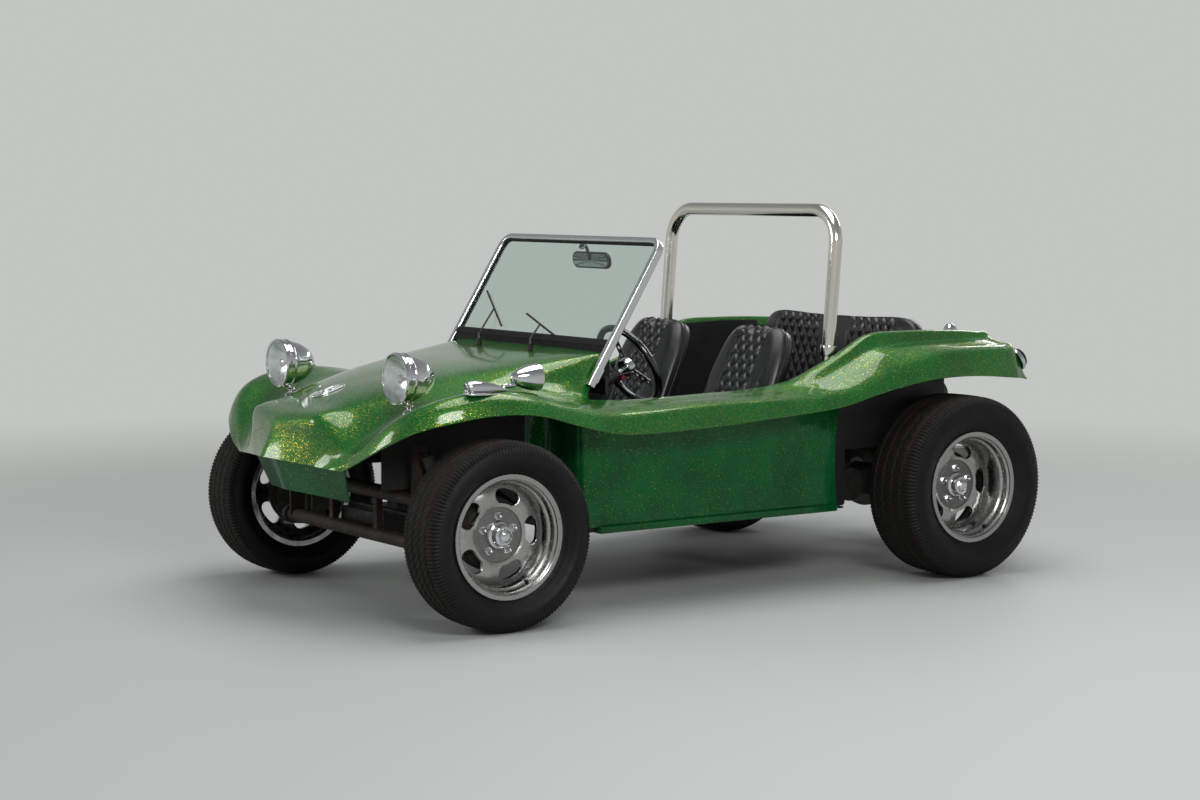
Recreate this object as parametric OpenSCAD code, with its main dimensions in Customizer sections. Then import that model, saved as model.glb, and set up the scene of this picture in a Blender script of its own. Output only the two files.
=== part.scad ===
// Dune buggy: a fibreglass body on a shortened rear-engined chassis.
// Lengths are in millimetres. x is the car's left, y its rear and z is up.
// The pieces are drawn with y = 0 at the front axle, and place() centres them.

/* [Chassis] */
// Distance between the front and rear axles
wheelbase = 2032; // [1900:1:2300]
// Middle of each tyre from the car's centre plane
half_track = 720; // [700:1:760]
// Radius of a front tyre
front_tyre_r = 314.5; // [300:0.5:320]
// Width of a front tyre
front_tyre_w = 209; // [180:1:225]
// Radius of a rear tyre
rear_tyre_r = 340; // [325:0.5:345]
// Width of a rear tyre
rear_tyre_w = 258; // [220:1:262]
// Radius of the bead seat of every rim
rim_r = 190.5; // [180:0.5:200]
// Kingpin axis from the centre plane
kingpin_x = 600; // [585:1:610]
// Height of the underside of the floor
floor_z = 262; // [230:1:280]

/* [Body] */
// Nose ahead of the front axle
nose_reach = 494; // [460:1:520]
// Tail of the fenders behind the rear axle
tail_reach = 380; // [350:1:420]
// Exhaust tips behind the rear axle
exhaust_reach = 700; // [680:1:740]
// Widest half width of the front fender lips
body_half_w = 742; // [720:1:790]
// Height of the cowl at the windshield
cowl_z = 880; // [860:1:910]
// Thickness of the fibreglass
skin_t = 8; // [5:0.5:10]
// Half width between the inner cockpit walls
cockpit_half_w = 560; // [540:1:566]
// Thickness of the tub walls
tub_t = 8; // [6:0.5:12]

/* [Windshield] */
// Half width of the windshield frame
screen_half_w = 516; // [505:1:520]
// Height of the windshield frame along its slope
screen_h = 440; // [380:1:500]
// Rake of the windshield from upright, in degrees
screen_rake = 32; // [28:0.5:36]
// Depth of the windshield frame bars
screen_d = 32; // [24:1:36]
// Thickness of the windshield glass
glass_t = 5; // [4:0.5:7]

/* [Roll bar] */
// Radius of the roll bar tube
bar_r = 25; // [20:0.5:30]
// Half width of the roll bar between tube centres
bar_half_w = 508; // [490:1:515]
// Height of the top of the roll bar
bar_top_z = 1390; // [1300:1:1450]
// Bend radius of the roll bar at the tube centre
bar_bend_r = 125; // [90:1:160]
// Lean of the roll bar to the rear, in degrees
bar_lean = 4.5; // [0:0.5:8]

/* [Seats] */
// Middle of each front seat from the centre plane
seat_x = 312; // [305:1:316]
// Width of a front seat
seat_w = 440; // [400:1:450]
// Height of the front seat back above the ground
seat_top_z = 940; // [900:1:980]
// Top of the rear bench back above the ground
bench_top_z = 955; // [920:1:980]

/* [Steering wheel] */
// Centre circle radius of the steering wheel rim
wheel_rim_r = 152; // [140:1:170]
// Radius of the steering wheel grip
grip_r = 13; // [10:0.5:16]
// Rake of the steering column above level, in degrees
column_rake = 28; // [20:1:35]

/* [Lamps] */
// Radius of a headlight shell
lamp_r = 88; // [75:1:95]
// Length of a headlight shell
lamp_l = 150; // [120:1:180]
// Height of a headlight's middle above its foot
lamp_lift = 114; // [108:1:130]

/* [Hidden] */
$fn = 48;
GAP = 0.3; // standing clearance between pieces that seat on each other
RUN = 0.1; // running clearance at a bearing
EPS = 0.01; // overlap that makes cutters cut

// ---- where things are along the car ----
rear_y = wheelbase;
base_wheelbase = 2032;
base_nose = 494;
base_tail = 380;
base_half_w = 742;
base_cowl_z = 880;
origin_y = (wheelbase + exhaust_reach - nose_reach) / 2;
front_z = front_tyre_r;
rear_z = rear_tyre_r;

// The body is drawn at its base sizes, and these stretch it to the sizes set above.
function along(y) =
    y < 0 ? y * nose_reach / base_nose
    : y < base_wheelbase ? y * wheelbase / base_wheelbase
    : wheelbase + (y - base_wheelbase) * tail_reach / base_tail;
function across(x) = x * body_half_w / base_half_w;
function upward(y, z) =
    z < 500 ? z : z + (z - 500) / (base_cowl_z - 500) * (cowl_z - base_cowl_z) * max(0, 1 - abs(y - 500) / 900);
function fit_body(p) = [across(p[0]), along(p[1]), upward(p[1], p[2])];
function fit_net(net) = [for (row = net) [for (p = row) fit_body(p)]];

// Front of the body, one row from nose to cowl, each from the centre plane to the fender lip:
// centre, hood, hood shoulder, flank, valley, inner rise, fender crest, wall top, lip.
front_net = fit_net([
    [[0, -494, 536], [108, -464, 530], [215, -432, 523], [262, -420, 520], [298, -411, 518],
     [325, -404, 516], [345, -399, 515], [361, -394, 514], [374, -390, 513]],
    [[0, -460, 607], [108, -441, 605], [216, -418, 602], [270, -398, 568], [325, -383, 548],
     [370, -378, 547], [408, -375, 555], [430, -376, 552], [445, -380, 546]],
    [[0, -424, 678], [110, -414, 682], [220, -400, 683], [285, -372, 628], [345, -348, 590],
     [410, -345, 592], [470, -345, 612], [503, -350, 604], [520, -357, 585]],
    [[0, -300, 724], [112, -298, 722], [222, -290, 712], [300, -278, 672], [375, -270, 640],
     [455, -280, 650], [540, -298, 683], [582, -308, 668], [600, -317, 629]],
    [[0, -185, 760], [120, -185, 758], [238, -185, 746], [325, -185, 712], [415, -185, 690],
     [505, -205, 702], [592, -228, 735], [636, -243, 716], [655, -255, 664]],
    [[0, -60, 790], [130, -60, 789], [262, -60, 778], [350, -65, 750], [440, -70, 728],
     [540, -95, 742], [635, -125, 767], [683, -142, 742], [702, -150, 690]],
    [[0, 75, 817], [148, 75, 816], [295, 72, 806], [385, 60, 778], [468, 45, 752],
     [565, 20, 765], [652, 0, 784], [706, -6, 760], [728, -10, 708]],
    [[0, 225, 840], [168, 225, 839], [335, 222, 830], [415, 212, 803], [478, 198, 768],
     [565, 180, 765], [655, 165, 768], [715, 155, 745], [742, 150, 702]],
    [[0, 390, 858], [195, 390, 858], [388, 388, 852], [450, 378, 826], [484, 360, 775],
     [550, 335, 738], [650, 315, 730], [715, 305, 708], [742, 300, 663]],
    [[0, 590, 880], [225, 590, 880], [440, 588, 877], [480, 580, 860], [488, 548, 790],
     [522, 492, 731], [640, 465, 708], [708, 455, 683], [738, 450, 627]]
]);

// Side and rear fender, one row from cowl to tail, each from the cockpit out to the lip:
// edge of the rolled rim, its top inside, its top outside, foot of the step, top, crown, lip.
side_net = fit_net([
    [[560.3, 492, 702], [562, 491, 728], [580, 483, 722], [610, 474, 715], [652, 466, 705],
     [708, 458, 683], [738, 453, 627]],
    [[560, 620, 696], [564, 620, 716], [592, 618, 715], [625, 612, 707], [665, 608, 697],
     [710, 603, 678], [736, 600, 617]],
    [[560, 900, 696], [564, 900, 720], [596, 900, 719], [632, 900, 712], [670, 900, 705],
     [708, 900, 688], [732, 900, 624]],
    [[560, 1180, 703], [564, 1180, 730], [598, 1180, 727], [634, 1180, 718], [672, 1180, 708],
     [708, 1180, 692], [731, 1180, 641]],
    [[560, 1350, 720], [564, 1350, 752], [597, 1350, 748], [632, 1350, 730], [670, 1350, 714],
     [708, 1350, 694], [732, 1350, 652]],
    [[560, 1480, 765], [564, 1480, 800], [595, 1480, 795], [626, 1480, 765], [668, 1480, 738],
     [710, 1480, 708], [738, 1480, 668]],
    [[560, 1600, 815], [564, 1600, 852], [594, 1600, 848], [620, 1600, 815], [668, 1600, 782],
     [718, 1600, 742], [748, 1600, 698]]
]);
tail_net = fit_net([
    [[560, 1600.5, 815], [564, 1600.5, 852], [594, 1600.5, 848], [620, 1600.5, 815],
     [668, 1600.5, 782], [718, 1600.5, 742], [748, 1600.5, 698]],
    [[560, 1720, 868], [564, 1720, 905], [593, 1720, 903], [614, 1720, 862], [668, 1720, 832],
     [727, 1720, 778], [760, 1720, 725]],
    [[560, 1900, 875], [564, 1900, 912], [593, 1900, 910], [612, 1900, 872], [672, 1900, 860],
     [738, 1900, 826], [770, 1900, 750]],
    [[560, 2090, 872], [564, 2090, 909], [592, 2090, 907], [610, 2090, 875], [672, 2090, 862],
     [742, 2090, 842], [772, 2090, 753]],
    [[560, 2260, 868], [564, 2260, 900], [590, 2260, 898], [608, 2260, 876], [670, 2270, 858],
     [738, 2275, 842], [766, 2285, 738]],
    [[560, 2335, 850], [564, 2332, 882], [586, 2332, 880], [604, 2334, 866], [665, 2338, 852],
     [715, 2335, 838], [748, 2345, 733]],
    [[560, 2410, 735], [564, 2410, 735], [582, 2411, 734], [604, 2411, 732], [660, 2412, 730],
     [702, 2405, 728], [735, 2385, 728]]
]);

// ---- splines and shells ----
function ctrl(p, i) =
    i < 0 ? 2 * p[0] - p[1] : i >= len(p) ? 2 * p[len(p) - 1] - p[len(p) - 2] : p[i];
function blend4(a, b, c, d, f) =
    0.5 * (2 * b + (c - a) * f + (2 * a - 5 * b + 4 * c - d) * f * f
    + (3 * b - a - 3 * c + d) * f * f * f);
function spline(p, u) =
    let (i = min(floor(u), len(p) - 2))
    blend4(ctrl(p, i - 1), ctrl(p, i), ctrl(p, i + 1), ctrl(p, i + 2), u - i);
function resample(p, n) = [for (k = [0 : n * (len(p) - 1)]) spline(p, k / n)];
function turned(m) = [for (j = [0 : len(m[0]) - 1]) [for (i = [0 : len(m) - 1]) m[i][j]]];
function patch(net, nu, nv) =
    turned([for (c = turned([for (r = net) resample(r, nu)])) resample(c, nv)]);
function on_net(net, u, v) = spline([for (r = net) spline(r, u)], v);
function both_sides(row) =
    concat([for (i = [len(row) - 1 : -1 : 1]) [-row[i][0], row[i][1], row[i][2]]], row);
function normal_at(g, i, j) =
    let (du = g[i][min(j + 1, len(g[0]) - 1)] - g[i][max(j - 1, 0)],
         dv = g[min(i + 1, len(g) - 1)][j] - g[max(i - 1, 0)][j],
         n = cross(du, dv))
    n / norm(n);
// The grid pushed in by a distance along its own normals.
function inset(g, t) =
    [for (i = [0 : len(g) - 1]) [for (j = [0 : len(g[0]) - 1]) g[i][j] - normal_at(g, i, j) * t]];
function flat_list(g) = [for (r = g) for (p = r) p];

// A closed solid between two grids of the same size.
module between(top, under) {
    r = len(top);
    c = len(top[0]);
    n = r * c;
    polyhedron(
        points = concat(flat_list(top), flat_list(under)),
        faces = concat(
            [for (i = [0 : r - 2]) for (j = [0 : c - 2]) let (a = i * c + j) each
                [[a, a + c, a + c + 1], [a, a + c + 1, a + 1],
                 [n + a, n + a + c + 1, n + a + c], [n + a, n + a + 1, n + a + c + 1]]],
            [for (j = [0 : c - 2]) let (a = j, b = (r - 1) * c + j) each
                [[a, a + 1, n + a + 1], [a, n + a + 1, n + a],
                 [b + 1, b, n + b], [b + 1, n + b, n + b + 1]]],
            [for (i = [0 : r - 2]) let (a = i * c, b = i * c + c - 1) each
                [[a + c, a, n + a], [a + c, n + a, n + a + c],
                 [b, b + c, n + b + c], [b, n + b + c, n + b]]]),
        convexity = 8);
}
module shell(grid, t) {
    between(grid, inset(grid, t));
}
module mirrored_pair() {
    children();
    mirror([1, 0, 0]) children();
}
module place() {
    translate([0, -origin_y, 0]) children();
}
// A bar of round section between two points.
module rod(a, b, r) {
    d = b - a;
    translate(a) rotate([0, acos(d[2] / norm(d)), atan2(d[1], d[0])]) cylinder(h = norm(d), r = r);
}
// A cylinder along x, from x0 to x1.
module axle_cylinder(x0, x1, r, y = 0, z = 0) {
    translate([x0, y, z]) rotate([0, 90, 0]) cylinder(h = x1 - x0, r = r);
}
// A flat shape drawn in y and z, thickened along x.
module side_plate(x0, x1) {
    translate([x0, 0, 0]) rotate([90, 0, 90]) linear_extrude(x1 - x0) children();
}
// A flat shape drawn in x and z, thickened along y.
module cross_plate(y0, y1) {
    translate([0, y1, 0]) rotate([90, 0, 0]) linear_extrude(y1 - y0) children();
}

// ---- body ----
front_rows = 3;
front_cols = 2;
front_grid = patch([for (r = front_net) both_sides(r)], front_cols, front_rows);
front_inner = inset(front_grid, skin_t);
side_grid = patch(side_net, 2, 3);
tail_grid = patch(tail_net, 2, 3);

module front_body() {
    color("forestgreen") place() shell(front_grid, skin_t);
}

// Recessed panel under the nose, in two halves that meet in a shallow V.
nose_back = 42; // how far its top sits behind the nose edge
nose_drop = 118; // height of the panel
module nose_panel() {
    hung = [for (c = [-6 : 6]) front_inner[4][8 * front_cols + c * front_cols] - [0, 0, 4]];
    brow = [for (c = [-6 : 6]) let (p = front_net[0][abs(c)]) [sign(c) * p[0] * 0.94, p[1] + nose_back, p[2] + 6]];
    foot = [for (c = [-6 : 6]) let (p = front_net[0][abs(c)])
        [sign(c) * p[0] * 0.82, p[1] + nose_back + 44, p[2] - nose_drop]];
    grid = [foot, (foot + brow) / 2, brow, hung];
    color("darkgreen") place() shell(grid, skin_t);
}

// Inner wheel houses: a curtain from the valley of the skin down beside the wheel, and a back wall.
house_x = 372; // inner side of the front wheel well
house_z = 440; // its lower edge
house_drop = 5.5; // its top edge below the inside of the skin
well_back_y = 402; // foot of the back wall of the front wheel well
valley_col = 8 * front_cols + 4 * front_cols;
well_row = 8 * front_rows; // row of the skin over the back wall
module inner_fenders() {
    side_top = [for (k = [7 : well_row]) front_inner[k][valley_col] - [0, 0, house_drop]];
    side = [for (p = side_top) let (foot = [min(across(house_x), p[0]), p[1], house_z])
        [foot, (foot + p) / 2, p]];
    back_top = [for (j = [valley_col : valley_col + 5]) front_inner[well_row][j] - [0, 0, house_drop]];
    back = [for (k = [0 : 5]) let (
            p = back_top[k],
            foot = [across(house_x) + k / 5 * (across(panel_x) - across(house_x) - 22), well_back_y, floor_z + 30])
        [foot, (foot + p) / 2, p]];
    color("darkgreen") place() mirrored_pair() {
        shell(side, skin_t);
        translate([0, GAP + skin_t, 0]) shell([for (k = [5 : -1 : 0]) back[k]], tub_t);
    }
}

// Side of the cockpit: rolled rim, lip, and the outer panel that hangs from it down to the sill.
panel_x = 592; // outer side of the body at half height
sill_x = 604; // outer edge of the sill flange
sill_t = 26; // height of the sill flange
module body_side() {
    place() {
        shell(side_grid, skin_t);
    }
}
module side_left() {
    color("forestgreen") body_side();
}
module side_right() {
    color("forestgreen") mirror([1, 0, 0]) body_side();
}

// Outer lower panels with their sills.
panel_rear_y = 1560;
hang_col = 9; // column of the side grid over which the panel hangs
module lower_panel() {
    front_hang = [for (k = [well_row + 1 : well_row + 2]) inset(front_grid, skin_t + GAP)[k][8 * front_cols + 13]];
    side_hang = [for (r = inset(side_grid, skin_t + GAP)) if (r[hang_col][1] < along(panel_rear_y)) r[hang_col]];
    hang = concat(front_hang, side_hang);
    grid = [for (p = hang) let (q = p - [2, 0, 1.5], y = max(p[1], well_back_y + 10 + 0.05 * (p[1] - well_back_y)))
        [[across(panel_x - 10), y, floor_z + sill_t], [across(panel_x), y, 440],
         [across(panel_x + 14), y, 540], [q[0] - 22, q[1], q[2] - 52], q]];
    shell(grid, tub_t);
    translate([across(panel_x) - 26, well_back_y + 20, floor_z])
        cube([sill_x - panel_x + 26, along(panel_rear_y) - well_back_y - 20, sill_t - GAP]);
}
module body_panels() {
    color("darkgreen") place() mirrored_pair() lower_panel();
}

module rear_fender() {
    place() shell(tail_grid, skin_t);
}
module rear_fender_left() {
    color("forestgreen") rear_fender();
}
module rear_fender_right() {
    color("forestgreen") mirror([1, 0, 0]) rear_fender();
}

// Deck behind the bench and the face that drops from it to the tail.
deck_front_y = along(2124);
module rear_deck() {
    face = [[deck_front_y, 876], [along(2255), 872], [along(2328), 852], [along(2404), 735]];
    color("forestgreen") place() side_plate(-across(cockpit_half_w) + GAP, across(cockpit_half_w) - GAP)
        polygon(concat(face, [for (i = [3 : -1 : 0]) face[i] - [i < 3 ? 1 : skin_t, skin_t]]));
}

// Inner walls, firewall, heel board, rear seat pan and bulkhead.
wall_x = across(cockpit_half_w) - GAP;
heel_y = along(1622);
pan_z = 490; // top of the rear seat pan
bulkhead_y = deck_front_y - 3;
bulkhead_face_y = bulkhead_y - tub_t - 2; // its side towards the bench
firewall_y = well_back_y + 18;
function cowl_at(u) = // point of the cowl skin over the firewall, on column u
    let (a = front_net[8][u], b = front_net[9][u])
    on_net(front_net, u, 8 + (firewall_y - a[1]) / (b[1] - a[1]));
rim_drop = 10.5; // top of the side walls below the top of the rolled rim
module tub() {
    rim_line = concat([for (i = [1 : len(side_net) - 2]) side_net[i][1]], [for (i = [0 : 3]) tail_net[i][1]]);
    wall = concat(
        [[firewall_y - 2, 690]],
        [for (p = rim_line) [p[1], p[2] - rim_drop]],
        [[bulkhead_y, 840], [bulkhead_y, pan_z - tub_t], [heel_y, pan_z - tub_t], [heel_y, floor_z + 12],
         [firewall_y - 2, floor_z + 12]]);
    over = [for (u = [0 : 4]) let (p = cowl_at(u)) [p[0] - (u > 2 ? 12 : 0), p[2] - skin_t - 0.5]];
    bulk = concat(over, [[over[4][0], 700], [wall_x - 4, 686], [wall_x - 4, floor_z + 15]]);
    inner_x = wall_x - tub_t;
    into_x = inner_x + 3; // the cross walls reach into the side walls
    color("black") place() difference() {
        union() {
            mirrored_pair() side_plate(inner_x, wall_x) polygon(wall);
            cross_plate(firewall_y, firewall_y + tub_t)
                polygon(concat(bulk, [for (i = [len(bulk) - 1 : -1 : 1]) [-bulk[i][0], bulk[i][1]]]));
            translate([-into_x, heel_y, pan_z - tub_t]) cube([2 * into_x, bulkhead_y - heel_y - 3, tub_t]);
            translate([-into_x, heel_y + 1, floor_z + 15]) cube([2 * into_x, tub_t, pan_z - floor_z - 18]);
            translate([-into_x, bulkhead_face_y, pan_z - 4]) cube([2 * into_x, tub_t, 370]);
        }
        tunnel(firewall_y - 10, torsion_y, GAP);
        rod(column_at(-540), column_at(-380), jacket_r + 1);
    }
}

// ---- chassis ----
tunnel_w = 150;
tunnel_h = 165;
beam_y = -130; // middle of the front beam tubes
beam_low_z = front_z - 56;
beam_high_z = front_z + 94;
beam_half = 470;
beam_r = 25;
tower_x = 432; // plate that carries the top of the front shock absorber
torsion_y = rear_y - 330;
torsion_r = 45;
tunnel_from = along(120);
module tunnel(y0, y1, grow = 0) {
    cross_plate(y0, y1) {
        translate([-tunnel_w / 2 - grow, floor_z + 1 - 2 * grow])
            square([tunnel_w + 2 * grow, tunnel_h - tunnel_w / 2 + 2 * grow]);
        translate([0, floor_z + tunnel_h - tunnel_w / 2]) circle(r = tunnel_w / 2 + grow);
    }
}
module floor_pan() {
    half = wall_x - tub_t - 1;
    head_z = beam_low_z - 6;
    color("dimgray") place() {
        translate([-half, firewall_y, floor_z]) cube([2 * half, heel_y - firewall_y + tub_t, 6]);
        mirrored_pair() for (k = [0 : 3])
            translate([180, firewall_y + 160 + k * 270, floor_z]) cube([270, 60, 12 - GAP]);
        tunnel(tunnel_from, torsion_y - torsion_r - GAP);
        // frame head that carries the front beam
        translate([-150, beam_y + beam_r + GAP, head_z])
            cube([300, tunnel_from - beam_y - beam_r + 20, rod_z - 16 - head_z]);
        // cradle between the tunnel and the torsion tube
        translate([-tunnel_w / 2, torsion_y - torsion_r - 12, floor_z + 1]) cube([tunnel_w, 60, rear_z - torsion_r - GAP - floor_z - 1]);
    }
}

module front_beam() {
    color("saddlebrown") place() {
        for (z = [beam_low_z, beam_high_z]) axle_cylinder(-beam_half, beam_half, beam_r, beam_y, z);
        // shock towers and the middle clamps
        mirrored_pair() {
            translate([tower_x, beam_y - 28, beam_low_z]) cube([10, 56, beam_high_z - beam_low_z + 180]);
            translate([145, beam_y - 12, beam_low_z]) cube([24, 24, beam_high_z - beam_low_z]);
        }
    }
}

arm_x = 478;
eye_r = 19;
king_low_z = front_z - 62;
king_high_z = front_z + 62;
eye_h = 16;
module front_arms() {
    color("black") place() mirrored_pair() {
        for (e = [[beam_low_z, king_low_z - eye_h / 2 - GAP], [beam_high_z, king_high_z + eye_h / 2 + GAP]]) {
            axle_cylinder(beam_half + GAP, beam_half + 22, 34, beam_y, e[0]);
            rod([arm_x + 4, beam_y, e[0]], [arm_x + 14, -34, e[1]], 11);
            translate([arm_x + 14, -34, e[1]]) sphere(r = 13);
            rod([arm_x + 14, -34, e[1]], [kingpin_x - 4, -1, e[1]], 7);
            translate([kingpin_x, 0, e[1] - eye_h / 2]) cylinder(h = eye_h, r = eye_r);
        }
        // shock absorber between the tower and the lower arm
        rod([470, beam_y + 10, beam_high_z + 150], [484, -38, beam_low_z + 84], 22);
        rod([484, -38, beam_low_z + 90], [arm_x + 14, -35, king_low_z], 9);
        axle_cylinder(tower_x + 10 + GAP, 470, 9, beam_y + 6, beam_high_z + 150);
    }
}

disc_x = 718; // outer face of every wheel's centre disc
disc_t = 24;
spindle_r = 15;
front_drum_x = 636;
front_drum_r = 122;
plate_gap = 4;
rod_z = front_z + 24; // height of the tie rod
steer_arm = 80;
module knuckle() {
    place() {
        translate([kingpin_x, 0, king_low_z]) cylinder(h = king_high_z - king_low_z, r = 17);
        axle_cylinder(kingpin_x, disc_x + 8, spindle_r, 0, front_z);
        difference() {
            axle_cylinder(front_drum_x - plate_gap - 5, front_drum_x - plate_gap, front_drum_r - 4, 0, front_z);
            translate([front_drum_x - 20, 80, front_z - 10]) rotate([0, 90, 0]) cylinder(h = 30, r = 8);
        }
        rod([kingpin_x, 0, rod_z + 18], [kingpin_x - 14, -steer_arm, rod_z + 18], 9);
        translate([kingpin_x - 14, -steer_arm, rod_z + 9]) cylinder(h = 18, r = 14);
    }
}
module knuckle_left() {
    color("dimgray") knuckle();
}
module knuckle_right() {
    color("dimgray") mirror([1, 0, 0]) knuckle();
}
module tie_rod() {
    color("silver") place() {
        axle_cylinder(-kingpin_x + 14, kingpin_x - 14, 8, -steer_arm, rod_z);
        mirrored_pair() translate([kingpin_x - 14, -steer_arm, rod_z - 10]) cylinder(h = 19 - GAP, r = 11);
    }
}

rear_plate_x = 566;
bell_r = 170; // bell housing between gearbox and engine
bell_y = rear_y + 174;
shock_top_z = rear_z + 300;
strut_a = 35;
module rear_suspension() {
    color("black") place() {
        difference() {
            axle_cylinder(-480, 480, torsion_r, torsion_y, rear_z);
            axle_cylinder(-481, 481, torsion_r - 8, torsion_y, rear_z);
        }
        mirrored_pair() {
            axle_cylinder(480 + GAP, 506, 62, torsion_y, rear_z);
            side_plate(488, 500) polygon([[torsion_y + 60, rear_z - 40], [torsion_y + 60, rear_z + 40],
                [rear_y + 74, rear_z + 46], [rear_y + 74, rear_z - 60]]);
            axle_cylinder(499, rear_plate_x - 1, 44, rear_y, rear_z);
            axle_cylinder(rear_plate_x - 1, rear_plate_x + 4, 118, rear_y, rear_z);
            // stub that carries the rear wheel
            axle_cylinder(rear_plate_x, disc_x + 8, spindle_r, rear_y, rear_z);
            // shock absorber, its eye on the spring plate and the bar over the gearbox
            rod([462, bell_y, shock_top_z], [468, rear_y + 104, rear_z + 60], 24);
            rod([468, rear_y + 104, rear_z + 66], [470, rear_y + 54, rear_z - 38], 10);
            axle_cylinder(458, 489, 14, rear_y + 54, rear_z - 38);
            rod([sin(strut_a), 0, cos(strut_a)] * (bell_r + GAP) + [0, bell_y, rear_z],
                [sin(strut_a), 0, cos(strut_a)] * (shock_top_z - rear_z) / cos(strut_a) + [0, bell_y, rear_z], 14);
        }
        axle_cylinder(-480, 480, 15, bell_y, shock_top_z);
    }
}

module transaxle() {
    color("gray") place() {
        translate([0, rear_y - 270, rear_z]) rotate([-90, 0, 0]) rotate_extrude()
            polygon([[0, 0], [62, 0], [72, 14], [76, 120], [96, 150], [128, 215], [128, 320], [104, 360],
                [118, 400], [bell_r - 4, 430], [bell_r, 440], [bell_r, 459.7], [0, 459.7]]);
        mirrored_pair() {
            axle_cylinder(126, 488 - GAP, 36, rear_y, rear_z);
            translate([100, rear_y, rear_z]) rotate([0, 90, 0]) cylinder(h = 60, r1 = 90, r2 = 50);
        }
        // nose mount to the tunnel
        translate([-40, torsion_y + torsion_r + GAP, rear_z - 30]) cube([80, 30, 60]);
    }
}

engine_y = rear_y + 190;
crank_z = rear_z + 40;
module engine() {
    color("dimgray") place() {
        translate([-120, engine_y, crank_z - 104]) cube([240, 380, 224]);
        mirrored_pair() for (k = [0, 1]) {
            axle_cylinder(119, 300, 52, engine_y + 80 + k * 150, crank_z - 20);
        }
        mirrored_pair() translate([296, engine_y + 10, crank_z - 82]) cube([60, 290, 124]);
        // crankshaft pulley
        translate([0, engine_y + 379, crank_z]) rotate([-90, 0, 0]) cylinder(h = 34, r = 88);
    }
}

shroud_top_z = 760;
module fan_shroud() {
    color("black") place() {
        cross_plate(engine_y + 30, engine_y + 138) difference() {
            union() {
                translate([0, shroud_top_z - 150]) circle(r = 150);
                polygon([[-150, shroud_top_z - 150], [150, shroud_top_z - 150], [352, crank_z + 62],
                    [352, crank_z + 42 + GAP], [-352, crank_z + 42 + GAP], [-352, crank_z + 62]]);
            }
            translate([-120 - GAP, 0]) square([240 + 2 * GAP, crank_z + 120 + GAP]);
        }
        // generator, its stand and pulley
        translate([0, engine_y + 138, crank_z + 220]) rotate([-90, 0, 0]) cylinder(h = 210, r = 52);
        translate([-40, engine_y + 170, crank_z + 120 + GAP]) cube([80, 110, 60]);
        translate([0, engine_y + 366, crank_z + 220]) rotate([-90, 0, 0]) cylinder(h = 24, r = 62);
        translate([0, engine_y + 347, crank_z + 220]) rotate([-90, 0, 0]) cylinder(h = 20, r = 12);
    }
}

tip_y = rear_y + exhaust_reach;
tip_r = 17;
tip_l = 30; // length of each tip behind its collar
module exhaust() {
    can_y = tip_y - 96;
    can_z = crank_z - 168;
    color("silver") place() {
        axle_cylinder(-230, 230, 62, can_y, can_z);
        mirrored_pair() {
            for (k = [0, 1]) {
                rod([326, engine_y + 80 + k * 150, crank_z - 82 - GAP], [326, engine_y + 80 + k * 150, can_z], 19);
                translate([326, engine_y + 80 + k * 150, can_z]) sphere(r = 21);
            }
            rod([326, engine_y + 80, can_z], [326, can_y - 40, can_z], 19);
            translate([326, can_y - 40, can_z]) sphere(r = 21);
            rod([326, can_y - 40, can_z], [220, can_y, can_z], 17);
            rod([150, can_y + 40, can_z - 22], [150, tip_y - tip_l, can_z - 22], tip_r + 6);
            rod([150, can_y + 40, can_z - 22], [150, tip_y, can_z - 22], tip_r);
        }
    }
}

// ---- wheels ----
front_rim_w = 144;
rear_rim_w = 208;
// Half of a tyre's outline: bead beside the rim flange, then sidewall and tread.
function tyre_half(r, w, rim_w) = concat(
    [[rim_r + GAP, rim_w / 2 - 17], [rim_r + 7, rim_w / 2 - 10.5], [rim_r + 18, rim_w / 2 - 6]],
    resample([[rim_r + 26, rim_w / 2 - 2], [(rim_r + r) / 2, w / 2], [r - 32, w * 0.475], [r - 12, w * 0.425],
        [r - 4, w * 0.36], [r, 0]], 2));
module tyre(r, w, rim_w) {
    // a ring with the room for air left out of it
    h = tyre_half(r, w, rim_w);
    n = len(h) - 1;
    room = [[rim_r - 1, rim_w / 2 - 33], [rim_r + 22, rim_w / 2 - 20], [(rim_r + r) / 2, w / 2 - 14],
        [r - 34, w * 0.475 - 16], [r - 18, w * 0.3]];
    rotate([0, 90, 0]) rotate_extrude($fn = 96) difference() {
        polygon(concat(h, [for (k = [n - 1 : -1 : 0]) [h[k][0], -h[k][1]]]));
        polygon(concat(room, [for (k = [len(room) - 1 : -1 : 0]) [room[k][0], -room[k][1]]]));
    }
}
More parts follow.
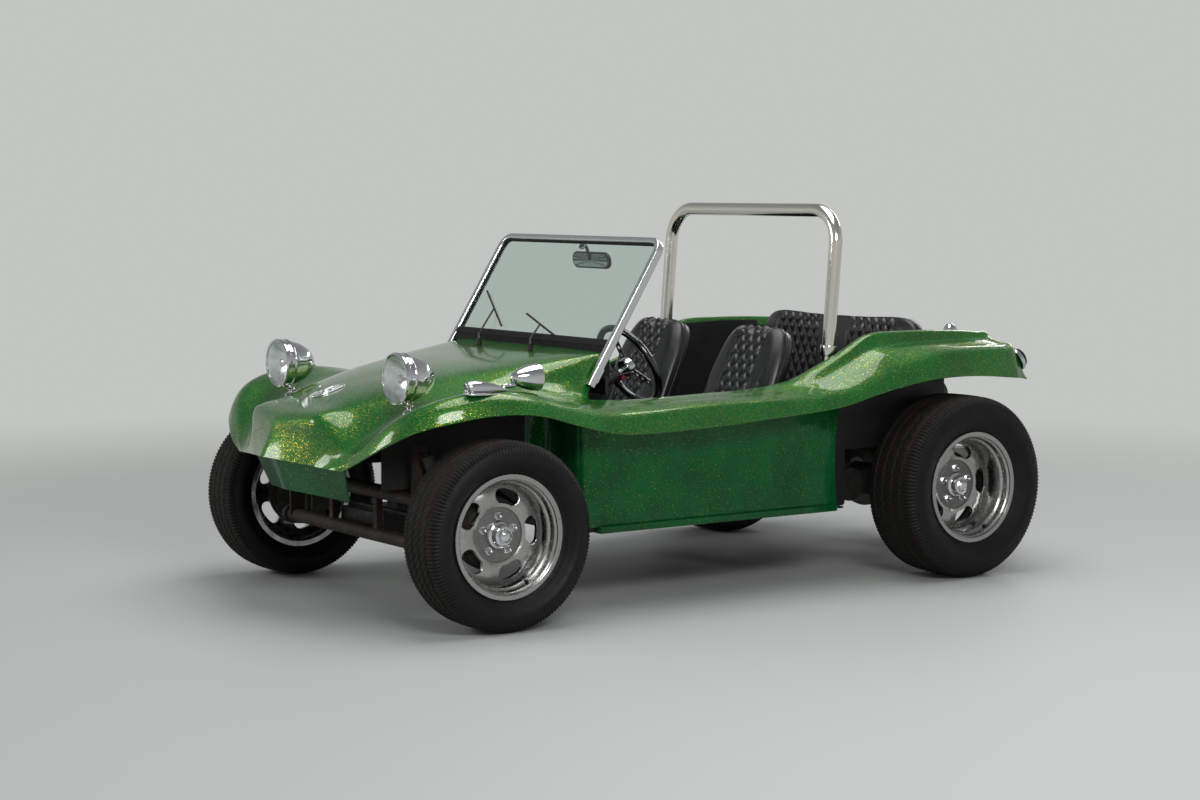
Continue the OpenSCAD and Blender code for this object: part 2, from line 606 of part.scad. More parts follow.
module rim(w) {
    h = w / 2;
    off = disc_x - half_track; // outer face of the centre disc
    rotate([0, 90, 0]) {
        rotate_extrude($fn = 96) polygon([
            [rim_r + 17, h], [rim_r + 17, h - 6], [rim_r + 5, h - 10], [rim_r - 2, h - 16], [rim_r - 2, h - 38],
            [rim_r - 22, h - 52], [rim_r - 22, -h + 52], [rim_r - 2, -h + 38], [rim_r - 2, -h + 16],
            [rim_r + 5, -h + 10], [rim_r + 17, -h + 6], [rim_r + 17, -h], [rim_r + 3, -h + 1], [rim_r - 9, -h + 12],
            [rim_r - 9, -h + 40], [rim_r - 28, -h + 55], [rim_r - 28, h - 55], [rim_r - 9, h - 40],
            [rim_r - 9, h - 12], [rim_r + 3, h - 1]]);
        difference() {
            rotate_extrude($fn = 96) polygon([
                [spindle_r + RUN, off - disc_t], [92, off - disc_t], [rim_r - 26, off - 20], [rim_r - 26, off - 4],
                [150, off + 2], [120, off + 8], [96, off + 3], [90, off], [46, off], [44, off + 14],
                [spindle_r + RUN, off + 14]]);
            for (k = [0 : 4]) rotate([0, 0, 90 + 72 * k]) translate([122, 0, off - 50]) {
                translate([-19, -22, 0]) cube([38, 44, 80]);
                for (s = [-22, 22]) translate([0, s, 0]) cylinder(h = 80, r = 19);
            }
        }
    }
}
module drum(x0, r, z) {
    difference() {
        axle_cylinder(x0, disc_x - disc_t - GAP, r, 0, z);
        axle_cylinder(x0 - 1, disc_x - disc_t + 1, spindle_r + RUN, 0, z);
        difference() {
            axle_cylinder(x0 - 1, disc_x - disc_t - 10, r - 9, 0, z);
            axle_cylinder(x0 - 2, disc_x, spindle_r + 10, 0, z);
        }
    }
}
module front_wheel() {
    place() {
        translate([half_track, 0, front_z]) rim(front_rim_w);
        drum(front_drum_x, front_drum_r, front_z);
    }
}
module rear_wheel() {
    place() translate([0, rear_y, 0]) {
        translate([half_track, 0, rear_z]) rim(rear_rim_w);
        drum(rear_plate_x + 14, 122, rear_z);
    }
}
module front_tyre() {
    place() translate([half_track, 0, front_z]) tyre(front_tyre_r, front_tyre_w, front_rim_w);
}
module rear_tyre() {
    place() translate([half_track, rear_y, rear_z]) tyre(rear_tyre_r, rear_tyre_w, rear_rim_w);
}
module wheel_front_left() {
    color("silver") front_wheel();
}
module wheel_front_right() {
    color("silver") mirror([1, 0, 0]) front_wheel();
}
module wheel_rear_left() {
    color("silver") rear_wheel();
}
module wheel_rear_right() {
    color("silver") mirror([1, 0, 0]) rear_wheel();
}
module tyre_front_left() {
    color("black") front_tyre();
}
module tyre_front_right() {
    color("black") mirror([1, 0, 0]) front_tyre();
}
module tyre_rear_left() {
    color("black") rear_tyre();
}
module tyre_rear_right() {
    color("black") mirror([1, 0, 0]) rear_tyre();
}

// ---- windshield ----
screen_y = along(594);
screen_z = cowl_z + 13;
frame_bar = 22;
frame_corner = 45;
leg_drop = 152; // length of the legs below the bottom bar
module on_screen() {
    place() translate([0, screen_y, screen_z]) rotate([-screen_rake, 0, 0]) children();
}
// Outline of the windshield with its two top corners rounded.
module screen_outline(half_w, z0, z1, r) {
    translate([-half_w, z0]) square([2 * half_w, z1 - z0 - r]);
    translate([-half_w + r, z1 - r - EPS]) square([2 * (half_w - r), r + EPS]);
    for (s = [-1, 1]) translate([s * (half_w - r), z1 - r]) circle(r = r);
}
module windshield_frame() {
    color("silver") on_screen() {
        difference() {
            cross_plate(-screen_d / 2, screen_d / 2) screen_outline(screen_half_w, 0, screen_h, frame_corner);
            cross_plate(-screen_d, screen_d)
                screen_outline(screen_half_w - frame_bar, frame_bar, screen_h - frame_bar, frame_corner - frame_bar + 5);
        }
        mirrored_pair() translate([screen_half_w - 18, -screen_d / 2, -leg_drop])
            cube([18, screen_d, leg_drop + frame_bar]);
    }
}
module windshield_glass() {
    half_w = screen_half_w - frame_bar - GAP;
    color("lightblue") on_screen() cross_plate(-glass_t / 2, glass_t / 2)
        screen_outline(half_w, frame_bar + GAP, screen_h - frame_bar - GAP, frame_corner - frame_bar + 5);
}

// One wiper on each side of the centre: pivot, arm and blade.
module wiper(pivot_x, arm_x, blade0, blade1) {
    pivot = [pivot_x, along(485), cowl_z - 12];
    bend = [arm_x, screen_y - 36, screen_z + 10];
    mid = (blade0 + blade1) / 2;
    translate(pivot + [0, 0, 2]) cylinder(h = 26, r = 9);
    rod(pivot + [0, 0, 24], bend, 4);
    rod(bend, mid, 3.5);
    rod(blade0, blade1, 4);
}
function on_glass(x, s) = [x, screen_y + s * sin(screen_rake) - 11, screen_z + s * cos(screen_rake)];
module wipers() {
    color("black") place() {
        wiper(172, 60, on_glass(-88, 108), on_glass(150, 32));
        wiper(-172, -290, on_glass(-430, 190), on_glass(-214, 50));
    }
}

mirror_at = [0, 82, screen_h - 50]; // inside mirror, in the plane of the windshield
module mirrors() {
    color("silver") {
        // inside, on the middle of the top bar
        on_screen() {
            translate([-14, screen_d / 2 + GAP, screen_h - frame_bar - 20]) cube([28, 6, 38]);
            rod([0, screen_d / 2 + 3, mirror_at[2] + 6], mirror_at, 5);
            translate(mirror_at) rotate([screen_rake + 10, 0, 0]) {
                translate([-92, -2, -29]) cube([184, 14, 58]);
                for (s = [-92, 92]) translate([s, 12, 0]) rotate([90, 0, 0]) cylinder(h = 14, r = 29);
            }
        }
        // on the left front fender
        place() {
            translate([610, along(226), 815]) rotate([90, 0, 0]) rotate_extrude()
                polygon([[0, 0], [40, 0], [46, 4], [46, 12], [41, 44], [30, 76], [17, 98], [0, 108]]);
            rod([610, along(176), 806], [613, along(96), 782], 8);
            on_skin(front_net, 5.5, 6.5, 0.2) cylinder(h = 14, r = 13);
        }
    }
}

// ---- things that stand on the skin ----
// Puts children over a point of the skin, their z along its normal, lifted to clear its curve.
module on_skin(net, u, v, lift) {
    p = on_net(net, u, v);
    n = cross(on_net(net, u + 0.05, v) - p, on_net(net, u, v + 0.05) - p);
    m = n / norm(n);
    translate(p + m * lift) rotate([0, acos(m[2]), atan2(m[1], m[0])]) children();
}
lamp_u = 4; // column and row of the front net under each headlight
lamp_v = 4.25;
lens_reach = 61; // lens ahead of the foot
foot_lift = 4.4; // lifts a headlight's round foot clear of the curved skin
module headlights() {
    foot = on_net(front_net, lamp_u, lamp_v);
    color("silver") place() mirrored_pair() {
        on_skin(front_net, lamp_u, lamp_v, foot_lift) cylinder(h = 8, r = 18);
        rod(foot + [0, 0, foot_lift + 6], foot + [0, 4, lamp_lift - lamp_r + 14], 14);
        translate(foot + [0, -lens_reach, lamp_lift]) rotate([-90, 0, 0]) rotate_extrude()
            polygon(concat([[0, 0]], resample([[0, 0], [lamp_r * 0.55, 2], [lamp_r - 8, 10]], 3), [[lamp_r, 12]],
                resample([[lamp_r, 26], [lamp_r * 0.93, lamp_l * 0.5], [lamp_r * 0.66, lamp_l * 0.82], [0, lamp_l]], 4)));
    }
}
signal_l = 165;
signal_r = 23;
module turn_signals() {
    color("silver") place() mirrored_pair() {
        translate([676, along(-90), 779 + signal_r]) rotate([-88, 0, 3]) rotate_extrude()
            polygon(resample([[0, 0], [signal_r * 0.8, 7], [signal_r, 34], [signal_r * 0.7, signal_l * 0.6],
                [signal_r * 0.3, signal_l * 0.88], [0, signal_l]], 3));
        on_skin(front_net, 6.42, 5.4, -0.6) cylinder(h = 26, r = 11);
    }
}
module fuel_cap() {
    color("silver") place() on_skin(front_net, 0, 3.57, 0.9) rotate([0, 0, 90]) {
        translate([-34, -32, 0]) cube([68, 64, 12]);
        for (s = [-34, 34]) translate([s, 0, 0]) cylinder(h = 12, r = 32);
    }
}
module tail_lights() {
    color("silver") place() mirrored_pair()
        on_skin(tail_net, 4.7, 5.5, 0.3) {
            cylinder(h = 34, r = 46);
        }
}

// ---- cockpit ----
dash_z = cowl_z - 4;
module dashboard() {
    color("black") place() difference() {
        cross_plate(screen_y - 6, screen_y + 6) polygon([[-470, dash_z - 22], [-430, dash_z - 14], [430, dash_z - 14],
            [470, dash_z - 22], [488, dash_z - 60], [492, dash_z - 146], [-492, dash_z - 146], [-488, dash_z - 60]]);
        for (x = [60, 130, 210]) translate([x, screen_y + 7, dash_z - 62]) rotate([90, 0, 0]) cylinder(h = 20, r = 26);
    }
}

hub_at = [300, along(827), 811];
column_dir = [0, cos(column_rake), sin(column_rake)];
function column_at(s) = hub_at + column_dir * s;
jacket_r = 20;
shaft_r = 10;
box_at = [178, beam_y + beam_r + GAP, beam_high_z - 46];
module steering_column() {
    low = column_at(-455);
    color("black") place() {
        difference() {
            rod(low, column_at(-60), jacket_r);
            rod(column_at(-260), column_at(-59), shaft_r + RUN);
        }
        rod(low, box_at + [34, 46, 40], 9);
        translate(box_at) cube([64, 60, 70]);
        // hanger under the dashboard
        translate([hub_at[0] - 30, screen_y + 6 + GAP, column_at(0)[2] - 120]) cube([60, 6, 40]);
    }
}
module steering_wheel() {
    color("black") place() translate(hub_at) rotate([column_rake - 90, 0, 0]) {
        rotate_extrude($fn = 96) translate([wheel_rim_r, 0]) circle(r = grip_r);
        for (k = [0 : 2]) rotate([0, 0, 90 + 120 * k]) translate([24, -14, -14]) rotate([0, -4, 0])
            cube([wheel_rim_r - 26, 28, 4]);
        translate([0, 0, -24]) cylinder(h = 34, r = 34);
        translate([0, 0, -230]) cylinder(h = 210, r = shaft_r);
    }
}

seat_base_z = 300;
module front_seat() {
    place() {
        side_plate(seat_x - seat_w / 2, seat_x + seat_w / 2) polygon(concat(
            resample([[along(728), seat_base_z + 40], [along(716), seat_base_z + 140], [along(738), seat_base_z + 190],
                [along(800), seat_base_z + 208], [along(960), seat_base_z + 196], [along(1130), seat_base_z + 176],
                [along(1190), seat_base_z + 210], [along(1260), seat_base_z + 340], [along(1362), seat_top_z - 60],
                [along(1396), seat_top_z - 6], [along(1440), seat_top_z], [along(1462), seat_top_z - 40]], 2),
            [[along(1330), 560], [along(1262), seat_base_z + 60], [along(1235), seat_base_z + 30],
             [along(760), seat_base_z + 30]]));
        // runners
        for (s = [-150, 150]) translate([seat_x + s - 18, along(780), floor_z + 12])
            cube([36, along(1220) - along(780), seat_base_z + 30 - GAP - floor_z - 12]);
    }
}
module seat_left() {
    color("black") front_seat();
}
module seat_right() {
    color("black") mirror([1, 0, 0]) front_seat();
}
bench_half_w = 500;
module rear_bench() {
    color("black") place() {
        side_plate(-bench_half_w, bench_half_w) polygon(concat(
            [[along(1712), pan_z + GAP], [along(1702), pan_z + 110]],
            resample([[along(1715), pan_z + 150], [along(1770), pan_z + 168], [along(1945), pan_z + 150]], 3),
            [[along(1975), pan_z + 130], [along(1968), pan_z + GAP]]));
        side_plate(-bench_half_w, bench_half_w) polygon(concat(
            [[along(1985), pan_z + GAP], [along(1982), pan_z + 160]],
            resample([[along(1990), pan_z + 220], [along(2030), bench_top_z - 60], [along(2052), bench_top_z - 8],
                [along(2080), bench_top_z], [along(2104), bench_top_z - 20]], 3),
            [[bulkhead_face_y - GAP, bench_top_z - 110], [bulkhead_face_y - GAP, pan_z + GAP]]));
    }
}

bar_foot_y = along(1538);
flange_z = floor_z + 6 + GAP;
module roll_bar() {
    leg = (bar_top_z - bar_r - flange_z) / cos(bar_lean) - bar_bend_r;
    color("silver") place() {
        mirrored_pair() translate([bar_half_w - 42, bar_foot_y - 50, flange_z]) cube([84, 100, 8]);
        translate([0, bar_foot_y, flange_z + 4]) rotate([-bar_lean, 0, 0]) {
            mirrored_pair() {
                translate([bar_half_w, 0, 0]) cylinder(h = leg - 4, r = bar_r);
                translate([bar_half_w - bar_bend_r, 0, leg - 4]) rotate([90, 0, 0]) rotate_extrude(angle = 90)
                    translate([bar_bend_r, 0]) circle(r = bar_r);
            }
            axle_cylinder(-bar_half_w + bar_bend_r, bar_half_w - bar_bend_r, bar_r, 0, leg - 4 + bar_bend_r);
        }
    }
}

// Pedals and gear lever.
module controls() {
    color("dimgray") place() {
        translate([230, along(520), floor_z + 6 + GAP]) cube([180, 40, 14]);
        for (x = [245, 310, 390]) {
            rod([x, along(538), floor_z + 14], [x, along(532), 440], 6);
            translate([x - 22, along(530), 420]) rotate([-12, 0, 0]) cube([44, 8, 62]);
        }
        translate([0, along(800), floor_z + tunnel_h + GAP]) {
            translate([-40, -40, 0]) cube([80, 80, 6]);
            rod([0, 0, 4], [0, 36, 250], 7);
            translate([0, 38, 262]) sphere(r = 22);
        }
    }
}

front_body();
nose_panel();
inner_fenders();
side_left();
side_right();
body_panels();
rear_fender_left();
rear_fender_right();
rear_deck();
tub();
floor_pan();
dashboard();
windshield_frame();
windshield_glass();
wipers();
mirrors();
roll_bar();
seat_left();
seat_right();
rear_bench();
steering_column();
steering_wheel();
headlights();
turn_signals();
fuel_cap();
tail_lights();
front_beam();
front_arms();
knuckle_left();
knuckle_right();
tie_rod();
rear_suspension();
transaxle();
engine();
fan_shroud();
exhaust();
controls();
wheel_front_left();
wheel_front_right();
wheel_rear_left();
wheel_rear_right();
tyre_front_left();
tyre_front_right();
tyre_rear_left();
tyre_rear_right();
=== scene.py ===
import math

import bmesh
import bpy
import numpy as np
from mathutils import Matrix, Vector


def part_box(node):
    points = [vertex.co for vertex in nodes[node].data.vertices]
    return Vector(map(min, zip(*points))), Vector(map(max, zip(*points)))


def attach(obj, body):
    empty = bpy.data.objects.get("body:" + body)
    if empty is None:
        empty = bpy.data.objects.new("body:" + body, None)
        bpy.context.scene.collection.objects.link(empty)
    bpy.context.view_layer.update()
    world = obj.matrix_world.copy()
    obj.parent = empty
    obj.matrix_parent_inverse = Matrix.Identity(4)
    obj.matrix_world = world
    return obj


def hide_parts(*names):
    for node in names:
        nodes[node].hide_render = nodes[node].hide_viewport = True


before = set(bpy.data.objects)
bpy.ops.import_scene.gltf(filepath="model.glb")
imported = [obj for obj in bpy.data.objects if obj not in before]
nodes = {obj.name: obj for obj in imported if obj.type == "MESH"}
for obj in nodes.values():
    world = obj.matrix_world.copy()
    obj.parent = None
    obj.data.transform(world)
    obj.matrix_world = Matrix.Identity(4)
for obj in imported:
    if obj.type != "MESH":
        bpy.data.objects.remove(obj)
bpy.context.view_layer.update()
scene = bpy.context.scene
mm = 0.001


# where the car's main points are, from the frame
def middleOf(node):
    low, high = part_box(node)
    return (np.array(low) + np.array(high)) / 2


frontHub = middleOf("tyre_front_left")
rearHub = middleOf("tyre_rear_left")


def at(points):
    # drawing millimetres, measured back from the front axle, to metres in the frame
    return np.asarray(points, float) * mm + [0, frontHub[1], 0]


# surfaces
def unit(v):
    return v / np.maximum(np.linalg.norm(v, axis=-1, keepdims=True), 1e-12)


def quads(rows, columns, loopRows=False, loopColumns=False):
    # one four-cornered face for each cell of a grid of points, wrapped round where it closes
    r = np.arange(rows if loopRows else rows - 1)[:, None]
    c = np.arange(columns if loopColumns else columns - 1)[None, :]
    nextR, nextC = (r + 1) % rows, (c + 1) % columns
    corners = [r * columns + c, r * columns + nextC, nextR * columns + nextC, nextR * columns + c]
    return np.stack(corners, -1).reshape(-1, 4)


def stretches(points, steps):
    # for even places along the rows of an array: the row before each, and how far past that row it is
    u = np.linspace(0, len(points) - 1, steps * (len(points) - 1) + 1)
    i = np.minimum(u.astype(int), len(points) - 2)
    return i, (u - i).reshape(-1, *[1] * (points.ndim - 1))


def splineRows(points, steps, before=None, after=None):
    # a Catmull-Rom curve through the rows of an array: each stretch is the cubic that leaves a row
    # in the direction from the row before it to the row after it
    before = 2 * points[:1] - points[1:2] if before is None else before
    after = 2 * points[-1:] - points[-2:-1] if after is None else after
    p = np.concatenate([before, points, after])
    i, f = stretches(points, steps)
    a, b, c, d = p[i], p[i + 1], p[i + 2], p[i + 3]
    return 0.5 * (2 * b + (c - a) * f + (2 * a - 5 * b + 4 * c - d) * f**2 + (3 * b - a - 3 * c + d) * f**3)


def lineRows(points, steps):
    # straight stretches through the rows of an array, with the same spacing as splineRows
    i, f = stretches(points, steps)
    return points[i] * (1 - f) + points[i + 1] * f


def across(grid, steps, maker=splineRows):
    # the same curve, run along the columns
    return maker(grid.swapaxes(0, 1), steps).swapaxes(0, 1)


def smooth(x, low, high):
    # 0 below low, 1 above high, and an S-curve between them
    t = np.clip((x - low) / (high - low), 0, 1)
    return t * t * (3 - 2 * t)


def bump(x, width):
    # a bell of height 1, that many wide at its shoulder
    return np.exp(-((x / width) ** 2))


def circle(radius, sides=24, squash=1.0):
    # a closed ring of points: radius times cosine and sine of an even turn
    turn = np.linspace(0, 2 * np.pi, sides, endpoint=False)
    return np.stack([radius * np.cos(turn), radius * squash * np.sin(turn)], -1)


def roundedBox(width, height, corner, steps=5):
    # outline of a rectangle: at each corner a quarter circle about a centre one radius in
    turn = np.linspace(0, np.pi / 2, steps)
    centres = [(1, 1), (-1, 1), (-1, -1), (1, -1)]
    arcs = [
        np.stack([sx * (width / 2 - corner) + corner * np.cos(turn + k * np.pi / 2),
                  sy * (height / 2 - corner) + corner * np.sin(turn + k * np.pi / 2)], -1)
        for k, (sx, sy) in enumerate(centres)
    ]
    return np.concatenate(arcs)


def bentPath(corners, bend, steps=10, closed=False):
    # straight runs joined by arcs, each touching the two runs beside its corner
    corners = np.asarray(corners, float)
    count = len(corners)
    bends = np.broadcast_to(bend, count)
    path = []
    for k in range(count):
        here = corners[k]
        if not closed and k in (0, count - 1):
            path.append(here[None])
            continue
        toOld, toNew = unit(corners[k - 1] - here), unit(corners[(k + 1) % count] - here)
        half = math.acos(np.clip(-toOld @ toNew, -1, 1)) / 2
        if half < 1e-3:
            path.append(here[None])
            continue
        # centre of the arc lies on the bisector, one radius over the cosine of half the turn away
        centre = here + unit(toOld + toNew) * bends[k] / math.cos(half)
        start = here + toOld * bends[k] * math.tan(half)
        turn = np.linspace(0, 2 * half, steps)[:, None]
        path.append(centre + bends[k] * (unit(start - centre) * np.cos(turn) - toOld * np.sin(turn)))
    return np.concatenate(path)


def sweep(path, section, reference=(0, 0, 1), closed=False, grow=1.0):
    # a section carried along a path: its first measure runs square to path and reference,
    # its second square to both; the ends are drawn in to a point on the path
    path = np.asarray(path, float)
    along = np.roll(path, -1, 0) - np.roll(path, 1, 0) if closed else np.gradient(path, axis=0)
    along = unit(along)
    side = unit(np.cross(along, np.asarray(reference, float)))
    rise = np.cross(side, along)
    grow = np.broadcast_to(grow, len(path))[:, None, None]
    section = np.asarray(section)
    grid = path[:, None] + grow * (section[None, :, :1] * side[:, None] + section[None, :, 1:] * rise[:, None])
    if not closed:
        first = np.repeat(path[:1, None], len(section), 1)
        last = np.repeat(path[-1:, None], len(section), 1)
        grid = np.concatenate([first, grid, last])
    return grid, quads(len(grid), len(section), closed, True)


def rod(a, b, radius, sides=24):
    a, b = np.asarray(a, float), np.asarray(b, float)
    reference = (0, 0, 1) if abs(unit(b - a)[2]) < 0.9 else (0, 1, 0)
    return sweep([a, b], circle(radius, sides), reference)


def turned(profile, centre, axis, steps=64, loop=False):
    # a profile of (radius, distance along the axis), carried once round the axis
    axis = unit(np.asarray(axis, float))
    side = unit(np.cross(axis, [0, 0, 1] if abs(axis[2]) < 0.9 else [0, 1, 0]))
    rise = np.cross(side, axis)
    turn = np.linspace(0, 2 * np.pi, steps, endpoint=False)
    ring = np.cos(turn)[:, None] * side + np.sin(turn)[:, None] * rise
    profile = np.asarray(profile, float)
    grid = np.asarray(centre, float) + profile[:, None, :1] * ring[None] + profile[:, None, 1:] * axis
    return grid, quads(len(profile), steps, loop, True)


def slab(outline, thickness, edge, place):
    # an outline raised to a thickness, its two rims eased by a quarter round of that edge, all in
    # millimetres; place is the 4 x 4 matrix that puts the drawing plane into the frame
    outline, thickness, edge = np.asarray(outline, float) * mm, thickness * mm, edge * mm
    along = unit(np.roll(outline, -1, 0) - np.roll(outline, 1, 0))
    outward = np.stack([along[:, 1], -along[:, 0]], -1)
    turn = np.linspace(0, np.pi / 2, 4)
    rise, fall = edge * (1 - np.cos(turn)), edge * (1 - np.sin(turn))
    insets = np.concatenate([[edge * 1.5], fall, rise, [edge * 1.5]])
    heights = np.concatenate([[0], rise, thickness - fall, [thickness]])
    rings = outline[None] - outward[None] * insets[:, None, None]
    middle = np.broadcast_to(outline.mean(0), (1, *outline.shape))
    rings = np.concatenate([middle, rings, middle])
    heights = np.concatenate([[0], heights, [thickness]])
    flat = np.concatenate([rings, np.broadcast_to(heights[:, None, None], (*rings.shape[:2], 1))], -1)
    place = np.asarray(place)
    return flat @ place[:3, :3].T + place[:3, 3], quads(len(heights), len(outline), False, True)


def plane(origin, right, up):
    # matrix of a drawing plane: its x runs right, its y up, and its height towards the viewer
    right, up = unit(np.asarray(right, float)), np.asarray(up, float)
    out = unit(np.cross(right, up))
    m = np.eye(4)
    m[:3, 0], m[:3, 1], m[:3, 2], m[:3, 3] = right, np.cross(out, right), out, origin
    return m


def normalsOf(grid):
    return unit(np.cross(np.gradient(grid, axis=1), np.gradient(grid, axis=0)))


def shell(grid, wall):
    # a skin of even wall: the outer grid, the same grid moved in along its normals,
    # a half round down its two long edges, and flat ends
    normal = normalsOf(grid)
    inner = grid - normal * wall
    turn = np.linspace(0, np.pi, 6)[1:-1]

    def roundEdge(column, neighbour):
        outward = unit(grid[:, column] - grid[:, neighbour])[:, None]
        centre = (grid[:, column] + inner[:, column])[:, None] / 2
        arc = np.cos(turn)[:, None] * normal[:, column][:, None] + np.sin(turn)[:, None] * outward
        return centre + wall / 2 * arc

    loop = np.concatenate([grid, roundEdge(-1, -2), inner[:, ::-1], roundEdge(0, 1)[:, ::-1]], 1)
    rows, width = loop.shape[:2]
    n, k = grid.shape[1], len(turn)
    j = np.arange(n - 1)
    cap = np.stack([j, j + 1, 2 * n + k - 2 - j, 2 * n + k - 1 - j], -1)
    ends = [[n - 1, n, n + 3, n + 4], [n, n + 1, n + 2, n + 3],
            [2 * n + k - 1, 2 * n + k, width - 1, 0], [2 * n + k, 2 * n + k + 1, width - 2, width - 1]]
    cap = np.concatenate([cap, ends])
    return loop, np.concatenate([quads(rows, width, False, True), cap, cap + (rows - 1) * width])


def mirrored(surface):
    # the same surface on the car's other side
    return surface[0] * [-1, 1, 1], *surface[1:]


def placed(surfaces):
    # surfaces in drawing millimetres, to the frame
    return [(at(s[0]), *s[1:]) for s in surfaces]


def faceOutwards(mesh, merge=0.0):
    # points within the merge distance become one, and all faces turn outwards
    work = bmesh.new()
    work.from_mesh(mesh)
    if merge:
        bmesh.ops.remove_doubles(work, verts=work.verts, dist=merge)
    bmesh.ops.recalc_face_normals(work, faces=work.faces)
    work.to_mesh(mesh)
    work.free()


def makePiece(name, surfaces, finishes, body="chassis", stands=(), crease=35, merge=1e-5):
    # surfaces are (grid, faces) or (grid, faces, finish number), joined into one mesh
    points, faces, numbers, start = [], [], [], 0
    for surface in surfaces:
        grid, cells = surface[:2]
        flat = np.asarray(grid).reshape(-1, 3)
        points.append(flat)
        faces.append(np.asarray(cells) + start)
        numbers.append(np.full(len(cells), surface[2] if len(surface) > 2 else 0))
        start += len(flat)
    mesh = bpy.data.meshes.new(name)
    mesh.from_pydata(np.concatenate(points).tolist(), [], np.concatenate(faces).tolist())
    mesh.polygons.foreach_set("material_index", np.concatenate(numbers).astype(np.int32))
    for finish in finishes:
        mesh.materials.append(finish)
    faceOutwards(mesh, merge)
    mesh.shade_smooth()
    mesh.set_sharp_from_angle(angle=math.radians(crease))
    piece = bpy.data.objects.new(name, mesh)
    scene.collection.objects.link(piece)
    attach(piece, body)
    if stands:
        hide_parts(*stands)
    return piece


# materials
def linear(code):
    # sRGB hex to linear light
    channels = [int(code[k:k + 2], 16) / 255 for k in (1, 3, 5)]
    return [c / 12.92 if c <= 0.04045 else ((c + 0.055) / 1.055) ** 2.4 for c in channels] + [1.0]


def addNode(tree, kind, inputs=None, **settings):
    # a node with its settings, its sockets set to values or linked to other nodes' outputs
    node = tree.nodes.new("ShaderNode" + kind)
    for key, value in settings.items():
        setattr(node, key, value)
    for socket, value in (inputs or {}).items():
        if isinstance(value, bpy.types.NodeSocket):
            tree.links.new(value, node.inputs[socket])
        else:
            node.inputs[socket].default_value = value
    return node


def startMaterial(name, **values):
    material = bpy.data.materials.new(name)
    material.use_nodes = True
    tree = material.node_tree
    shader = tree.nodes["Principled BSDF"]
    for socket, value in values.items():
        shader.inputs[socket.replace("_", " ")].default_value = value
    place = addNode(tree, "TexCoord").outputs["Object"]
    return material, tree, shader, place


def perMetre(size):
    # texture scale that makes a feature of that many millimetres
    return 1 / (size * mm)


def blendColours(tree, factor, dark, light):
    return addNode(tree, "MixRGB", {0: factor, 1: linear(dark), 2: linear(light)}).outputs[0]


def noise(tree, place, size, detail=3, roughness=0.5):
    return addNode(tree, "TexNoise", {"Vector": place, "Scale": perMetre(size), "Detail": detail,
                                      "Roughness": roughness}).outputs["Fac"]


def spread(tree, value, low, high, toLow=0.0, toHigh=1.0):
    return addNode(tree, "MapRange", {"Value": value, "From Min": low, "From Max": high,
                                      "To Min": toLow, "To Max": toHigh}).outputs["Result"]


def bumpNormal(tree, height, strength, distance):
    return addNode(tree, "Bump", {"Height": height, "Strength": strength, "Distance": distance * mm}).outputs[0]


def surfaceFinish(name, dark, light, patch, roughness, grain=1.0, relief=0.2, metal=0.0, wear=0.1, coat=0.0,
                  shine=0.5):
    # a finish with slow colour patches, a fine grain in its relief and an uneven gloss
    material, tree, shader, place = startMaterial(name, Metallic=metal, Coat_Weight=coat, Coat_Roughness=0.05,
                                                  Specular_IOR_Level=shine)
    patches = noise(tree, place, patch)
    tree.links.new(blendColours(tree, spread(tree, patches, 0.3, 0.7), dark, light),
                   shader.inputs["Base Color"])
    gloss = noise(tree, place, patch / 3, 5)
    uneven = spread(tree, gloss, 0.3, 0.7, roughness - wear / 2, roughness + wear / 2)
    tree.links.new(uneven, shader.inputs["Roughness"])
    if relief:
        tree.links.new(bumpNormal(tree, noise(tree, place, grain, 2), relief, grain * 0.3),
                       shader.inputs["Normal"])
    return material


flake = {"size": 1.4, "share": 0.34, "tilt": 0.34, "green": "#02652a", "deep": "#025425",
         "dull": "#1c5a16", "gold": "#f0dc46", "glint": "#f4e45a"}


